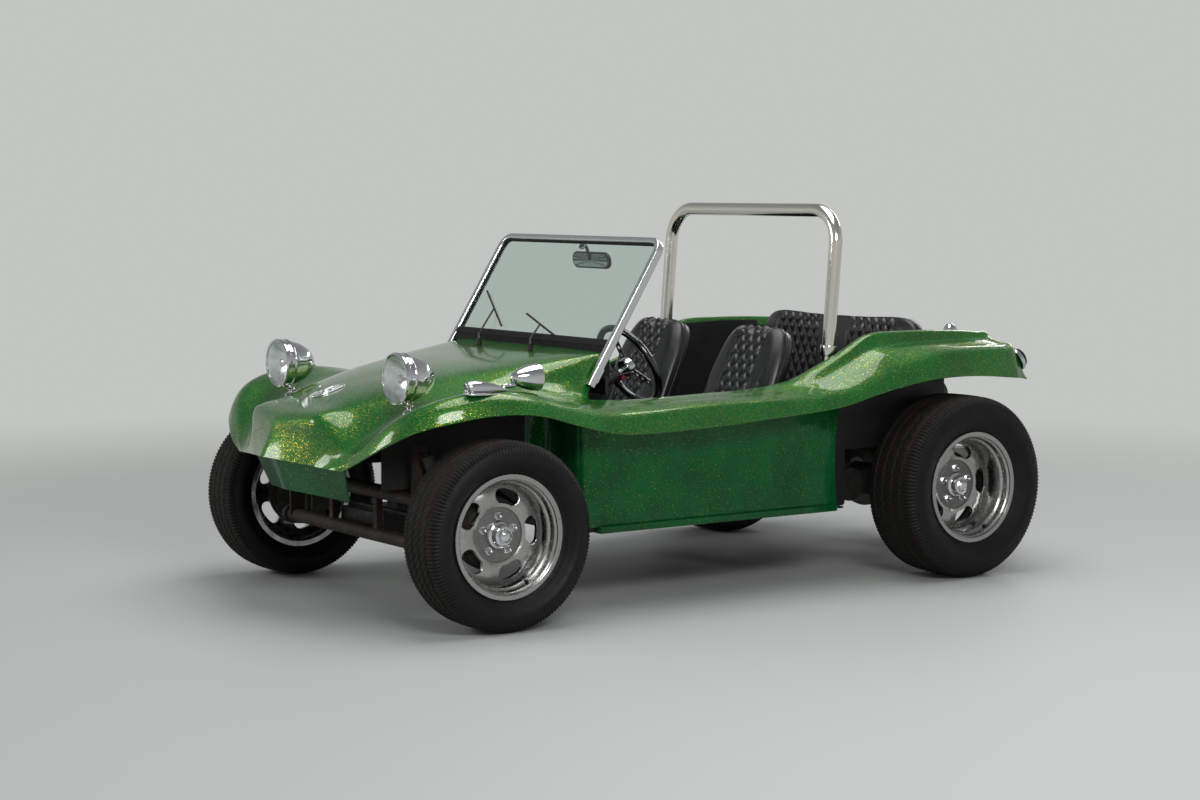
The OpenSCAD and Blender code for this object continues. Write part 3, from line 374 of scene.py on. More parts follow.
def flakeGelcoat(name, green, deep, share, glint, coat=1.0):
    # metal-flake gelcoat: foil flakes lie at odd angles in green resin under a clear flat coat. Their
    # gold shows as a broad glitter where a lamp finds it, and the resin's green everywhere else.
    # Real flakes are under a millimetre across; they are drawn larger, so that single ones show
    material, tree, shader, place = startMaterial(name, Coat_Weight=coat, Coat_Roughness=0.09, Coat_IOR=1.42,
                                                  IOR=1.5, Specular_IOR_Level=0.25)
    shader.inputs["Specular Tint"].default_value = linear(glint)
    cells = addNode(tree, "TexVoronoi", {"Vector": place, "Scale": perMetre(flake["size"])})
    parts = addNode(tree, "SeparateColor", {0: cells.outputs["Color"]})
    isFlake = spread(tree, parts.outputs["Red"], 1 - share, 1 - share + 0.03)
    cloud = spread(tree, noise(tree, place, 160, 2), 0.35, 0.65)
    resin = blendColours(tree, cloud, deep, green)
    foil = blendColours(tree, spread(tree, parts.outputs["Blue"], 0.8, 1.0), flake["dull"], flake["gold"])
    colour = addNode(tree, "MixRGB", {0: isFlake, 1: resin, 2: foil}).outputs[0]
    tree.links.new(colour, shader.inputs["Base Color"])
    tree.links.new(isFlake, shader.inputs["Metallic"])
    tree.links.new(spread(tree, parts.outputs["Green"], 0, 1, 0.22, 0.42), shader.inputs["Roughness"])
    tilt = addNode(tree, "VectorMath", {0: cells.outputs["Color"], 1: (0.5, 0.5, 0.5)}, operation="SUBTRACT")
    tilt = addNode(tree, "VectorMath", {0: tilt.outputs[0], "Scale": flake["tilt"]}, operation="SCALE")
    plain = addNode(tree, "NewGeometry").outputs["Normal"]
    lean = addNode(tree, "VectorMath", {0: plain, 1: tilt.outputs[0]}, operation="ADD")
    lean = addNode(tree, "VectorMath", {0: lean.outputs[0]}, operation="NORMALIZE")
    tree.links.new(lean.outputs[0], shader.inputs["Normal"])
    return material


def brightMetal(name, colour, roughness, scratchSize=0.6, scratch=0.02, stretch=(1, 1, 1)):
    # polished metal: a clean mirror with hairline scratches that blur it a little
    material, tree, shader, place = startMaterial(name, Metallic=1.0)
    shader.inputs["Base Color"].default_value = linear(colour)
    drawn = addNode(tree, "Mapping", {"Vector": place, "Scale": stretch}).outputs[0]
    lines = noise(tree, drawn, scratchSize * 20, 8, 0.7)
    tree.links.new(spread(tree, lines, 0.35, 0.7, roughness, roughness * 2.2), shader.inputs["Roughness"])
    tree.links.new(bumpNormal(tree, noise(tree, drawn, scratchSize, 2), scratch, 0.1), shader.inputs["Normal"])
    return material


def clearMaterial(name, tint, roughness=0.0):
    # clear moulded glass or plastic, seen by its tint and its reflections
    material, tree, shader, place = startMaterial(name, Transmission_Weight=1.0, IOR=1.45)
    shader.inputs["Base Color"].default_value = linear(tint)
    tree.links.new(spread(tree, noise(tree, place, 60), 0.3, 0.8, roughness, roughness + 0.02),
                   shader.inputs["Roughness"])
    return material


paint = flakeGelcoat("metal_flake_gelcoat", flake["green"], flake["deep"], flake["share"], flake["glint"])
# the body gelcoat again, with a darker green and fewer flakes: painted shade for the lower panels, sills and
# the panel under the nose, which sit in shade under the body; it has half the clear coat
shadowPaint = flakeGelcoat("shade_darkened_flake_gelcoat", "#02552a", "#013f1e", 0.08, "#5fae58", 0.5)
chrome = brightMetal("chrome_plate", "#cfcfd2", 0.04, 0.8, 0.004)
tubeChrome = brightMetal("worn_chrome_tube", "#dcd8d2", 0.09, 1.2, 0.05)
frameAlloy = brightMetal("polished_aluminium_extrusion", "#cfd2d4", 0.14, 0.8, 0.08, (1, 1, 0.05))
wheelAlloy = brightMetal("polished_cast_aluminium", "#a6a6a4", 0.17, 1.6, 0.03)
satinAlloy = brightMetal("satin_machined_aluminium", "#7e7e7c", 0.36, 1.2, 0.08)
castAlloy = surfaceFinish("cast_aluminium", "#6d6d6a", "#8d8c87", 60, 0.5, 1.5, 0.5, metal=0.8)
rubber = surfaceFinish("tyre_rubber", "#050505", "#0c0c0b", 70, 0.55, 1.2, 0.3, wear=0.16, shine=0.25)
gloveBlack = surfaceFinish("satin_black_paint", "#0b0b0c", "#151517", 90, 0.5, 0.8, 0.25)
underCoat = surfaceFinish("sprayed_undercoat", "#0a0b0a", "#15140f", 60, 0.75, 2.5, 0.6)
chassisBlack = surfaceFinish("dusty_chassis_paint", "#0e0d0c", "#1f1c19", 50, 0.6, 1.0, 0.5, wear=0.25)
beamPaint = surfaceFinish("rust_bloomed_steel", "#17130f", "#33271d", 35, 0.65, 1.2, 0.6, metal=0.2, wear=0.25)
forgedSteel = surfaceFinish("forged_steel", "#2c2a28", "#4a4744", 30, 0.5, 1.0, 0.4, metal=0.7)
drumIron = surfaceFinish("brake_drum_iron", "#1d1a18", "#35302b", 25, 0.7, 1.4, 0.6, metal=0.4)
enamel = surfaceFinish("black_shroud_enamel", "#0a0a0b", "#131314", 120, 0.22, 1.0, 0.05, coat=0.5)
pipeChrome = brightMetal("exhaust_chrome", "#c9c2b6", 0.12, 1.0, 0.05)
wiperBlack = surfaceFinish("satin_wiper_black", "#0b0b0b", "#161616", 40, 0.42, 0.6, 0.1)
gripBlack = surfaceFinish("polished_black_grip", "#070707", "#0d0d0d", 80, 0.14, 0.8, 0.02, coat=0.8, wear=0.04)
vinyl = surfaceFinish("grained_dash_vinyl", "#0d0d0e", "#17171a", 90, 0.45, 1.3, 0.6)
leather = surfaceFinish("black_grained_leather", "#121213", "#1c1c1e", 120, 0.34, 1.7, 0.22, wear=0.1)
pipingLeather = surfaceFinish("rolled_leather_piping", "#0c0c0d", "#141415", 60, 0.34, 0.8, 0.15)
dialWhite = surfaceFinish("gauge_white", "#c9c9c4", "#dcdcd8", 60, 0.5, 0.5, 0.0)
dialBlack = surfaceFinish("gauge_black", "#060606", "#0b0b0b", 60, 0.35, 0.5, 0.0)
redPlastic = surfaceFinish("red_plastic", "#8c1310", "#a81c16", 40, 0.3, 0.5, 0.05)
windowGlass = clearMaterial("tinted_window_glass", "#dcebe5")
lensGlass = clearMaterial("pressed_lens_glass", "#f4f7f7", 0.02)
reflector = brightMetal("silvered_reflector", "#f1f2f2", 0.2, 1.5, 0.02)
treadRubber = surfaceFinish("worn_tread_rubber", "#0e0c0a", "#191512", 50, 0.72, 1.2, 0.4, wear=0.16,
                            shine=0.25)
redLens = clearMaterial("red_lens_plastic", "#c01410", 0.04)
print("materials ready")


# camera, floor and lamps
studio = {
    "eye": (7.192, -5.232, 1.439), "yaw": 145.08, "pitch": -5.08, "roll": 0.146, "lens": 70.93,
    "floor": "#b4b6b4", "wall": "#c3c5c2",
    "lamps": [  # name, place, aimed at, width, depth, watts
        ("overheadSoftbox", (0.3, 0.2, 4.6), (0, 0, 0), 5.0, 3.0, 150),
        ("rightSoftbox", (5.2, -2.2, 3.4), (0, 0, 0.6), 2.4, 1.4, 130),
        ("frontSoftbox", (-2.5, -6.0, 3.0), (0, -0.5, 0.5), 2.6, 1.6, 90),
        ("backStrip", (-2.0, 6.5, 3.6), (0, 0.5, 0.6), 4.0, 0.8, 70),
    ],
}


def turnAxes(forward, roll=0.0):
    # columns of a matrix whose -Z looks forward and whose X stays level before the roll
    right = unit(np.cross(forward, [0, 0, 1]))
    up = np.cross(right, forward)
    r2 = math.cos(roll) * right + math.sin(roll) * up
    u2 = -math.sin(roll) * right + math.cos(roll) * up
    return Matrix(np.stack([r2, u2, -np.asarray(forward)], 1).tolist()).to_4x4()


yaw, pitch = math.radians(studio["yaw"]), math.radians(studio["pitch"])
forward = np.array([math.cos(pitch) * math.cos(yaw), math.cos(pitch) * math.sin(yaw), math.sin(pitch)])
camera = bpy.data.objects.new("camera", bpy.data.cameras.new("camera"))
camera.data.lens, camera.data.sensor_width = studio["lens"], 36
camera.matrix_world = Matrix.Translation(studio["eye"]) @ turnAxes(forward, math.radians(studio["roll"]))
scene.collection.objects.link(camera)
scene.camera = camera
scene.view_settings.view_transform = "Standard"

for name, place, aim, width, depth, watts in studio["lamps"]:
    lamp = bpy.data.objects.new(name, bpy.data.lights.new(name, "AREA"))
    lamp.data.shape, lamp.data.size, lamp.data.size_y, lamp.data.energy = "ELLIPSE", width, depth, watts
    look = unit(np.array(aim, float) - place)
    look = look if abs(look[2]) < 0.999 else unit(look + [1e-3, 1e-3, 0])
    lamp.matrix_world = Matrix.Translation(place) @ turnAxes(look)
    scene.collection.objects.link(lamp)

world = bpy.data.worlds.new("paleRoom")
world.use_nodes = True
scene.world = world
sky = world.node_tree
background = sky.nodes["Background"]
direction = addNode(sky, "TexCoord").outputs["Generated"]
height = addNode(sky, "SeparateXYZ", {0: direction}).outputs["Z"]
# a room seen in the paint and the chrome: dark low down, a pale wall, a dimmer ceiling
room = addNode(sky, "ValToRGB", {0: spread(sky, height, -1, 1)})
room.color_ramp.elements[0].position, room.color_ramp.elements[0].color = 0.46, linear("#6d6f6e")
room.color_ramp.elements[1].position, room.color_ramp.elements[1].color = 0.52, linear(studio["wall"])
for position, shade in ((0.68, "#a5a8a6"), (0.85, "#86898a")):
    room.color_ramp.elements.new(position).color = linear(shade)
isCamera = addNode(sky, "LightPath").outputs["Is Camera Ray"]
shown = addNode(sky, "MixRGB", {0: isCamera, 1: room.outputs[0], 2: linear(studio["wall"])}).outputs[0]
sky.links.new(shown, background.inputs["Color"])
background.inputs["Strength"].default_value = 1.0

floorFinish, floorTree, floorShader, floorPlace = startMaterial("pale_studio_floor", Roughness=0.55)
floorShader.inputs["Base Color"].default_value = linear(studio["floor"])
# far from the car the floor melts into the wall behind it, for what the camera and the chrome see
distance = addNode(floorTree, "VectorMath", {0: floorPlace}, operation="LENGTH").outputs["Value"]
far = addNode(floorTree, "MapRange", {"Value": distance, "From Min": 2.0, "From Max": 7.0},
              interpolation_type="SMOOTHSTEP")
rays = addNode(floorTree, "LightPath")


def floorMath(operation, a, b):
    return addNode(floorTree, "Math", {0: a, 1: b}, operation=operation).outputs[0]


seen = floorMath("MAXIMUM", rays.outputs["Is Camera Ray"], rays.outputs["Is Glossy Ray"])
seen = floorMath("MAXIMUM", seen, rays.outputs["Is Transmission Ray"])
share = floorMath("MULTIPLY", far.outputs[0], seen)
glow = addNode(floorTree, "Emission", {"Color": linear(studio["wall"]), "Strength": 1.0})
mixed = addNode(floorTree, "MixShader", {0: share, 1: floorShader.outputs[0], 2: glow.outputs[0]})
floorTree.links.new(mixed.outputs[0], floorTree.nodes["Material Output"].inputs["Surface"])
floorMesh = bpy.data.meshes.new("floor")
reach = 60
floorCorners = [(x * reach, y * reach, 0) for x, y in ((-1, -1), (1, -1), (1, 1), (-1, 1))]
floorMesh.from_pydata(floorCorners, [], [(0, 1, 2, 3)])
floorMesh.materials.append(floorFinish)
floor = bpy.data.objects.new("floor", floorMesh)
floor.location.z = -0.0005
scene.collection.objects.link(floor)
print("studio ready")


# the moulded body
body = {"wall": 7 * mm, "rowSteps": 9, "columnSteps": 6, "stripSteps": 8}

# one row from nose to cowl, each from the centre plane to the fender lip: centre, hood,
# hood shoulder, flank, valley, inner rise, fender crest, wall top, lip
frontNet = np.array([
    [[0, -494, 536], [108, -464, 530], [215, -432, 523], [262, -420, 520], [298, -411, 518],
     [325, -404, 516], [345, -399, 515], [361, -394, 514], [374, -390, 513]],
    [[0, -460, 607], [108, -441, 605], [216, -418, 602], [270, -398, 568], [325, -383, 548],
     [370, -378, 547], [408, -375, 555], [430, -376, 552], [445, -380, 546]],
    [[0, -424, 678], [110, -414, 682], [220, -400, 683], [285, -372, 628], [345, -348, 590],
     [410, -345, 592], [470, -345, 612], [503, -350, 604], [520, -357, 585]],
    [[0, -300, 724], [112, -298, 722], [222, -290, 712], [300, -278, 672], [375, -270, 640],
     [455, -280, 650], [540, -298, 683], [582, -308, 668], [600, -317, 629]],
    [[0, -185, 760], [120, -185, 758], [238, -185, 746], [325, -185, 712], [415, -185, 690],
     [505, -205, 702], [592, -228, 735], [636, -243, 716], [655, -255, 664]],
    [[0, -60, 790], [130, -60, 789], [262, -60, 778], [350, -65, 750], [440, -70, 728],
     [540, -95, 742], [635, -125, 767], [683, -142, 742], [702, -150, 690]],
    [[0, 75, 817], [148, 75, 816], [295, 72, 806], [385, 60, 778], [468, 45, 752],
     [565, 20, 765], [652, 0, 784], [706, -6, 760], [728, -10, 708]],
    [[0, 225, 840], [168, 225, 839], [335, 222, 830], [415, 212, 803], [478, 198, 768],
     [565, 180, 765], [655, 165, 768], [715, 155, 745], [742, 150, 702]],
    [[0, 390, 858], [195, 390, 858], [388, 388, 852], [450, 378, 826], [484, 360, 775],
     [550, 335, 738], [650, 315, 730], [715, 305, 708], [742, 300, 663]],
    [[0, 590, 880], [225, 590, 880], [440, 588, 877], [480, 580, 860], [488, 548, 790],
     [522, 492, 731], [640, 465, 708], [708, 455, 683], [738, 450, 627]],
], float)
# one row from the cowl to the tail, each from the cockpit out to the lip: edge of the rolled rim,
# its top inside, its top outside, foot of the step, top, crown, lip
stripNet = np.array([
    [[560, 620, 696], [564, 620, 716], [592, 618, 715], [625, 612, 707], [665, 608, 697],
     [710, 603, 678], [736, 600, 617]],
    [[560, 900, 696], [564, 900, 720], [596, 900, 719], [632, 900, 712], [670, 900, 705],
     [708, 900, 688], [732, 900, 624]],
    [[560, 1180, 703], [564, 1180, 730], [598, 1180, 727], [634, 1180, 718], [672, 1180, 708],
     [708, 1180, 692], [731, 1180, 641]],
    [[560, 1350, 720], [564, 1350, 752], [597, 1350, 748], [632, 1350, 730], [670, 1350, 714],
     [708, 1350, 694], [732, 1350, 652]],
    [[560, 1480, 765], [564, 1480, 800], [595, 1480, 795], [626, 1480, 765], [668, 1480, 738],
     [710, 1480, 708], [738, 1480, 668]],
    [[560, 1600, 815], [564, 1600, 852], [594, 1600, 848], [620, 1600, 815], [668, 1600, 782],
     [718, 1600, 742], [748, 1600, 698]],
    [[560, 1720, 868], [564, 1720, 905], [593, 1720, 903], [614, 1720, 862], [668, 1720, 832],
     [727, 1720, 778], [760, 1720, 725]],
    [[560, 1900, 875], [564, 1900, 912], [593, 1900, 910], [612, 1900, 872], [672, 1900, 860],
     [738, 1900, 826], [770, 1900, 750]],
    [[560, 2090, 872], [564, 2090, 909], [592, 2090, 907], [610, 2090, 875], [672, 2090, 862],
     [742, 2090, 842], [772, 2090, 753]],
    [[560, 2260, 868], [564, 2260, 900], [590, 2260, 898], [608, 2260, 876], [670, 2270, 858],
     [738, 2275, 842], [766, 2285, 738]],
    [[560, 2335, 850], [564, 2332, 882], [586, 2332, 880], [604, 2334, 866], [665, 2338, 852],
     [715, 2335, 838], [748, 2345, 733]],
    [[560, 2410, 735], [564, 2410, 735], [582, 2411, 734], [604, 2411, 732], [660, 2412, 730],
     [702, 2405, 728], [735, 2385, 728]],
], float)


def alongRow(row, places):
    # points of a row's own curve at places counted in columns
    fine = splineRows(row, 100)
    return fine[np.rint(np.asarray(places) * 100).astype(int)]


# the strip's first row lies on the front moulding's last one, and each follows the other's direction
joinAt = [5.32, 5.32, 5.45, 5.7, 6.1, 7, 8]
joinRow = alongRow(frontNet[-1], joinAt)
joinRow[0, 2] -= 24
beforeJoin = alongRow(frontNet[-2], joinAt)
stripNet = np.concatenate([joinRow[None], stripNet])
afterJoin = 2 * frontNet[-1] - frontNet[-2]
afterJoin[6:] = alongRow(stripNet[1], [3.6, 5, 6])
afterJoin[6:] = frontNet[-1, 6:] + (afterJoin[6:] - frontNet[-1, 6:]) * 0.7
wholeNet = np.concatenate([(frontNet * [-1, 1, 1])[:, :0:-1], frontNet], 1)
wholeAfter = np.concatenate([(afterJoin * [-1, 1, 1])[:0:-1], afterJoin])


def frontSkin(rowSteps, columnSteps):
    # Catmull-Rom both ways, drawn towards straight stretches low on the nose, where it is facetted
    lengthwise = splineRows(wholeNet, rowSteps, after=wholeAfter[None])
    soft = across(lengthwise, columnSteps)
    hard = across(lengthwise, columnSteps, lineRows)
    nose = 1 - smooth(np.linspace(0, len(frontNet) - 1, len(soft)), 1.7, 3.2)
    column = np.abs(np.linspace(-8, 8, soft.shape[1]))
    mix = 0.85 * nose[:, None] * (1 - smooth(column, 2.6, 4.5))[None]
    return soft + (hard - soft) * mix[..., None]


def hoodPoint(column, row):
    # a point of the front moulding and its normal, counted in columns from the centre plane and rows
    # from the nose
    k = [int(round((row + d) * 40)) for d in (-0.025, 0, 0.025)]
    lines = splineRows(wholeNet, 40, after=wholeAfter[None])[k]
    fine = across(lines, 40)
    c = int(round((column + 8) * 40))
    normal = unit(np.cross(fine[1, c + 1] - fine[1, c - 1], fine[2, c] - fine[0, c]))
    return at(fine[1, c]), normal


frontGrid = at(frontSkin(body["rowSteps"], body["columnSteps"]))
stripGrid = at(across(splineRows(stripNet, body["stripSteps"], before=beforeJoin[None]), body["columnSteps"]))
makePiece("front_moulding", [shell(frontGrid, body["wall"])], [paint], stands=["front_body"],
          crease=40)
strip = shell(stripGrid, body["wall"])
for name, skin in (("left", strip), ("right", mirrored(strip))):
    makePiece(f"rail_and_fender_{name}", [skin], [paint], stands=[f"side_{name}", f"rear_fender_{name}"],
              crease=40)

# deck behind the bench, and the face that drops from it to the tail
deckLine = splineRows(np.array([[2124, 876], [2190, 876], [2255, 872], [2310, 862], [2338, 838], [2372, 785],
                                [2404, 735]], float), 6)
deckWidth = np.linspace(-561, 561, 40)
deckCrown = 9 * (1 - (deckWidth / 561) ** 2)
deckGrid = np.stack([
    np.broadcast_to(deckWidth, (len(deckLine), 40)),
    np.broadcast_to(deckLine[:, :1], (len(deckLine), 40)),
    deckLine[:, 1:] + deckCrown[None] * (1 - smooth(deckLine[:, :1], 2300, 2404)),
], -1)
makePiece("rear_deck_moulding", [shell(at(deckGrid), body["wall"])], [paint], stands=["rear_deck"])

# lower panels: one sheet that runs forward from the rear wheel, turns in behind the front wheel and
# goes on as the inner side of its well
sidePanel = {"out": 600, "sillZ": 262, "sillHigh": 25, "rearY": 1568, "wellX": 372, "wellBackY": 404,
             "wellFrontY": -235, "wellZ": 440, "underSkin": 9}
cornerPath = [(sidePanel["wellX"], sidePanel["wellFrontY"], 0), (sidePanel["wellX"], sidePanel["wellBackY"], 0),
              (sidePanel["out"], sidePanel["wellBackY"] + 8, 0), (sidePanel["out"], sidePanel["rearY"], 0)]
plan = bentPath(cornerPath, [0, 110, 40, 0], 16)
run = np.concatenate([[0], np.cumsum(np.linalg.norm(np.diff(plan, axis=0), axis=1))])
evenRun = np.linspace(0, run[-1], 280)
planX, planY = np.interp(evenRun, run, plan[:, 0]), np.interp(evenRun, run, plan[:, 1])
skinPoints = across(splineRows(wholeNet, 16, after=wholeAfter[None]), 10)[:, 80:]
away = (skinPoints[..., 0, None] - planX) ** 2 + (skinPoints[..., 1, None] - planY) ** 2
weight = 1 / (away.reshape(-1, len(planX)) + 4) ** 3
# nearest points of the skin count most
skinZ = (weight * skinPoints[..., 2].reshape(-1, 1)).sum(0) / weight.sum(0)
hangLine = np.concatenate([frontNet[8:, 6], stripNet[1:8, 4]])
onSide = smooth(planY, 430, 520)
hangZ = np.interp(planY, hangLine[:, 1], hangLine[:, 2]) - 16
topZ = (1 - onSide) * (skinZ - sidePanel["underSkin"]) + onSide * hangZ
footZ = np.interp(evenRun, [0, 420, 640],
                  [sidePanel["wellZ"], sidePanel["wellZ"], sidePanel["sillZ"] + sidePanel["sillHigh"]])
drop = np.linspace(0, 1, 40)
panelZ = topZ[:, None] + drop[None] * (footZ - topZ)[:, None]
hangX = np.interp(planY, hangLine[:, 1], hangLine[:, 0]) - 6
flare = bump(drop, 0.22)[None] * (onSide * (hangX - sidePanel["out"] - 6))[:, None]
panelX = planX[:, None] + onSide[:, None] * (6 - 14 * drop[None] ** 2) + flare
tailCurve = 26 * np.sin(drop * np.pi * 0.9)[None] * smooth(planY, 1400, sidePanel["rearY"])[:, None]
panelGrid = at(np.stack([panelX, planY[:, None] - tailCurve, panelZ], -1))[:, ::-1]
turnRow = int(np.argmax(evenRun > 560))
panel = shell(panelGrid[turnRow:][::-1], body["wall"])
well = shell(panelGrid[:turnRow + 1][::-1], body["wall"])
sillY = (plan[-2, 1] + 40, sidePanel["rearY"] - 10)
sillPlace = plane(at([sidePanel["out"] - 20, sum(sillY) / 2, sidePanel["sillZ"]]), (0, 1, 0), (-1, 0, 0))
sill = slab(roundedBox(sillY[1] - sillY[0], 48, 8), sidePanel["sillHigh"], 4, sillPlace)
# lower panels and sills take the darker gelcoat, their painted shade under the fender lips
makePiece("lower_panels_and_sills", [panel, sill, mirrored(panel), mirrored(sill)], [shadowPaint],
          stands=["body_panels"])
makePiece("wheel_wells", [well, mirrored(well)], [underCoat], stands=["inner_fenders"])

# recessed panel under the nose, hung from the skin, its halves meeting in a shallow V
noseColumns = np.linspace(-6, 6, 61)
noseEdge = np.stack([np.interp(np.abs(noseColumns), range(9), frontNet[0, :, k]) for k in range(3)], -1)
noseEdge[:, 0] *= np.sign(noseColumns)
brow = noseEdge * [0.94, 1, 1] + [0, 42, 6]
foot = noseEdge * [0.82, 1, 1] + [0, 86, -118]
noseGrid = brow + np.linspace(1, 0, 12)[:, None, None] * (foot - brow)
# the panel under the nose takes the darker gelcoat as painted shade
makePiece("nose_under_panel", [shell(at(noseGrid), body["wall"])], [shadowPaint], stands=["nose_panel"])
print("body ready")


# wheels and tyres
wheelStyle = {"slotLong": 92, "slotWide": 48, "slotAt": 129, "firstSlot": 3, "firstNut": 18, "nutAt": 62.5,
              "inner": 92, "outer": 166, "face": -2, "wall": 15, "crown": 8, "ridge": 6,
              "valve": -62}
tyreStyle = {"around": 600, "across": 104, "sipes": 150, "grooves": (0.09, 0.265), "grooveDepth": 7,
             "grooveWide": 3.4, "sipeDepth": 4.4, "hookDepth": 3.4, "zigzag": 2.4}


def raysFromSlot(long, wide, boxX, boxY, steps):
    # rays from the middle of a slot with round ends: where each leaves the slot, and where it meets the
    # box round it. Beyond the slot's straight run it meets an end's circle, at
    # run cos + sqrt(radius^2 - run^2 sin^2)
    edge = np.linspace(-1, 1, steps, endpoint=False)
    one = np.ones(steps)
    box = np.concatenate([np.stack([edge, -one], -1), np.stack([one, edge], -1),
                          np.stack([-edge, one], -1), np.stack([-one, -edge], -1)])
    ray = unit(box * [boxX, boxY])
    run, radius = (long - wide) / 2, wide / 2
    flat = radius / np.maximum(np.abs(ray[:, 1]), 1e-9)
    ends = run * np.abs(ray[:, 0]) + np.sqrt(np.maximum(radius**2 - (run * ray[:, 1]) ** 2, 0))
    reach = np.where(np.abs(ray[:, 0]) * flat <= run, flat, ends)
    return reach[:, None] * ray, box


def slottedDisc():
    # a fifth of the disc in turn angle and radius is a box with a slot in it. Its face is a crown,
    # crown - 12 ((r - 118) / 48)^2, with a ridge down the middle of each spoke
    w = wheelStyle
    half, middle, reach = math.pi / 5, (w["inner"] + w["outer"]) / 2, (w["outer"] - w["inner"]) / 2
    slot, box = raysFromSlot(w["slotLong"], w["slotWide"], half * w["slotAt"], reach, 24)
    slot = np.stack([slot[:, 0] / w["slotAt"], middle + slot[:, 1]], -1)
    border = np.stack([box[:, 0] * half, middle + box[:, 1] * reach], -1)
    share = np.array([0, 0, 0.02, 0.07, 0.15, 0.3, 0.5, 0.75, 1, 1])[:, None, None]
    below = np.array([w["wall"], 3.5, 1.0, 0, 0, 0, 0, 0, 0, w["wall"]])[:, None]
    turn, radius = np.moveaxis(slot + share * (border - slot), -1, 0)
    crown = w["crown"] - 12 * ((radius - 118) / 48) ** 2
    alongSpoke = np.clip((radius - w["inner"]) / (w["outer"] - w["inner"]), 0, 1)
    rise = np.clip(np.abs(turn) / half - 0.42, 0, 1) / 0.58 * np.sin(np.pi * alongSpoke) ** 0.6
    out = w["face"] + crown + w["ridge"] * rise - below
    cells = quads(*turn.shape, True, True)
    onSide = np.abs(box[:, 0]) == 1
    row, column = np.divmod(np.arange(len(cells)), turn.shape[1])
    inside = (row == len(share) - 2) & onSide[column] & onSide[(column + 1) % len(box)]
    cells = cells[~inside]
    return [(np.stack([out, radius * np.cos(turn + a), radius * np.sin(turn + a)], -1), cells)
            for a in math.radians(w["firstSlot"]) + np.arange(5) * 2 * np.pi / 5]


def wheelSurfaces(h, drumFrom):
    # finishes: polished casting, machined centre, chrome, brake drum, valve rubber
    w, x = wheelStyle, np.array([1, 0, 0])
    barrel = [[207.5, h - 12], [207.5, h - 2], [206, h], [192, h], [190, h - 1.5], [189, h - 8],
              [183, h - 12], [182, h - 14], [179.5, h - 32], [172, h - 37], [170.5, h - 40], [167, h - 54],
              [165, 4], [165, -10], [164, 52 - h], [182, 36 - h], [182, 12 - h], [190, 2 - h], [207.5, -h],
              [207.5, 8 - h], [197, 10 - h], [190.3, 20 - h], [190.3, 36 - h], [169, 50 - h], [169, h - 50],
              [190.3, h - 36], [190.3, h - 20], [197, h - 10]]
    face = w["face"] * x
    surfaces = [(*s, 0) for s in slottedDisc()]
    surfaces.append((*turned(barrel, (0, 0, 0), x, 160, True), 0))
    plate = [[93, -12], [93, 4.5], [91.5, 5.2], [90, 4.4], [89, 1.4], [77, 1.2], [76, 2.2], [46, 2.2], [45, 1],
             [45, -12]]
    surfaces.append((*turned(plate, face, x, 96, True), 1))
    hub = [[0, -6], [47, -6], [47, 9], [44, 14], [37, 17], [35, 19], [34.5, 36], [33, 40], [30, 42], [25, 42.5],
           [23.5, 44], [0, 44]]
    surfaces.append((*turned(hub, face, x, 72), 2))
    surfaces.append((*turned([[0, 40], [22.5, 44], [22.5, 51], [20, 54], [0, 64]], face, x, 8), 2))
    for a in math.radians(w["firstNut"]) + np.arange(5) * 2 * np.pi / 5:
        seat = face + w["nutAt"] * np.array([0, math.cos(a), math.sin(a)])
        surfaces.append((*turned([[0, 0], [14.5, 0], [14.5, 4], [13, 5.5], [0, 5.5]], seat, x, 28), 2))
        surfaces.append((*turned([[0, 4], [10.5, 4], [10.5, 14], [9, 16], [0, 16]], seat, x, 6), 2))
        cap = [[0, 14], [8.4, 14], [8.2, 18], [6.5, 22], [3.5, 24.5], [0, 25.2]]
        surfaces.append((*turned(cap, seat, x, 20), 2))
    drum = [[16, -26], [98, -26.3], [104, -31], [118, -32], [122, -38], [122, -50], [124, -52], [124, -56],
            [121, -58], [121, drumFrom], [112, drumFrom], [112, -40], [16, -40]]
    surfaces.append((*turned(drum, (0, 0, 0), x, 72, True), 3))
    a = math.radians(w["valve"])
    ray = np.array([0, math.cos(a), math.sin(a)])
    valve = [ray * 176 + x * (h - 38), ray * 173 + x * (h - 22)]
    surfaces.append((*sweep(valve, circle(4.2, 14), (0, 1, 0)), 4))
    return surfaces


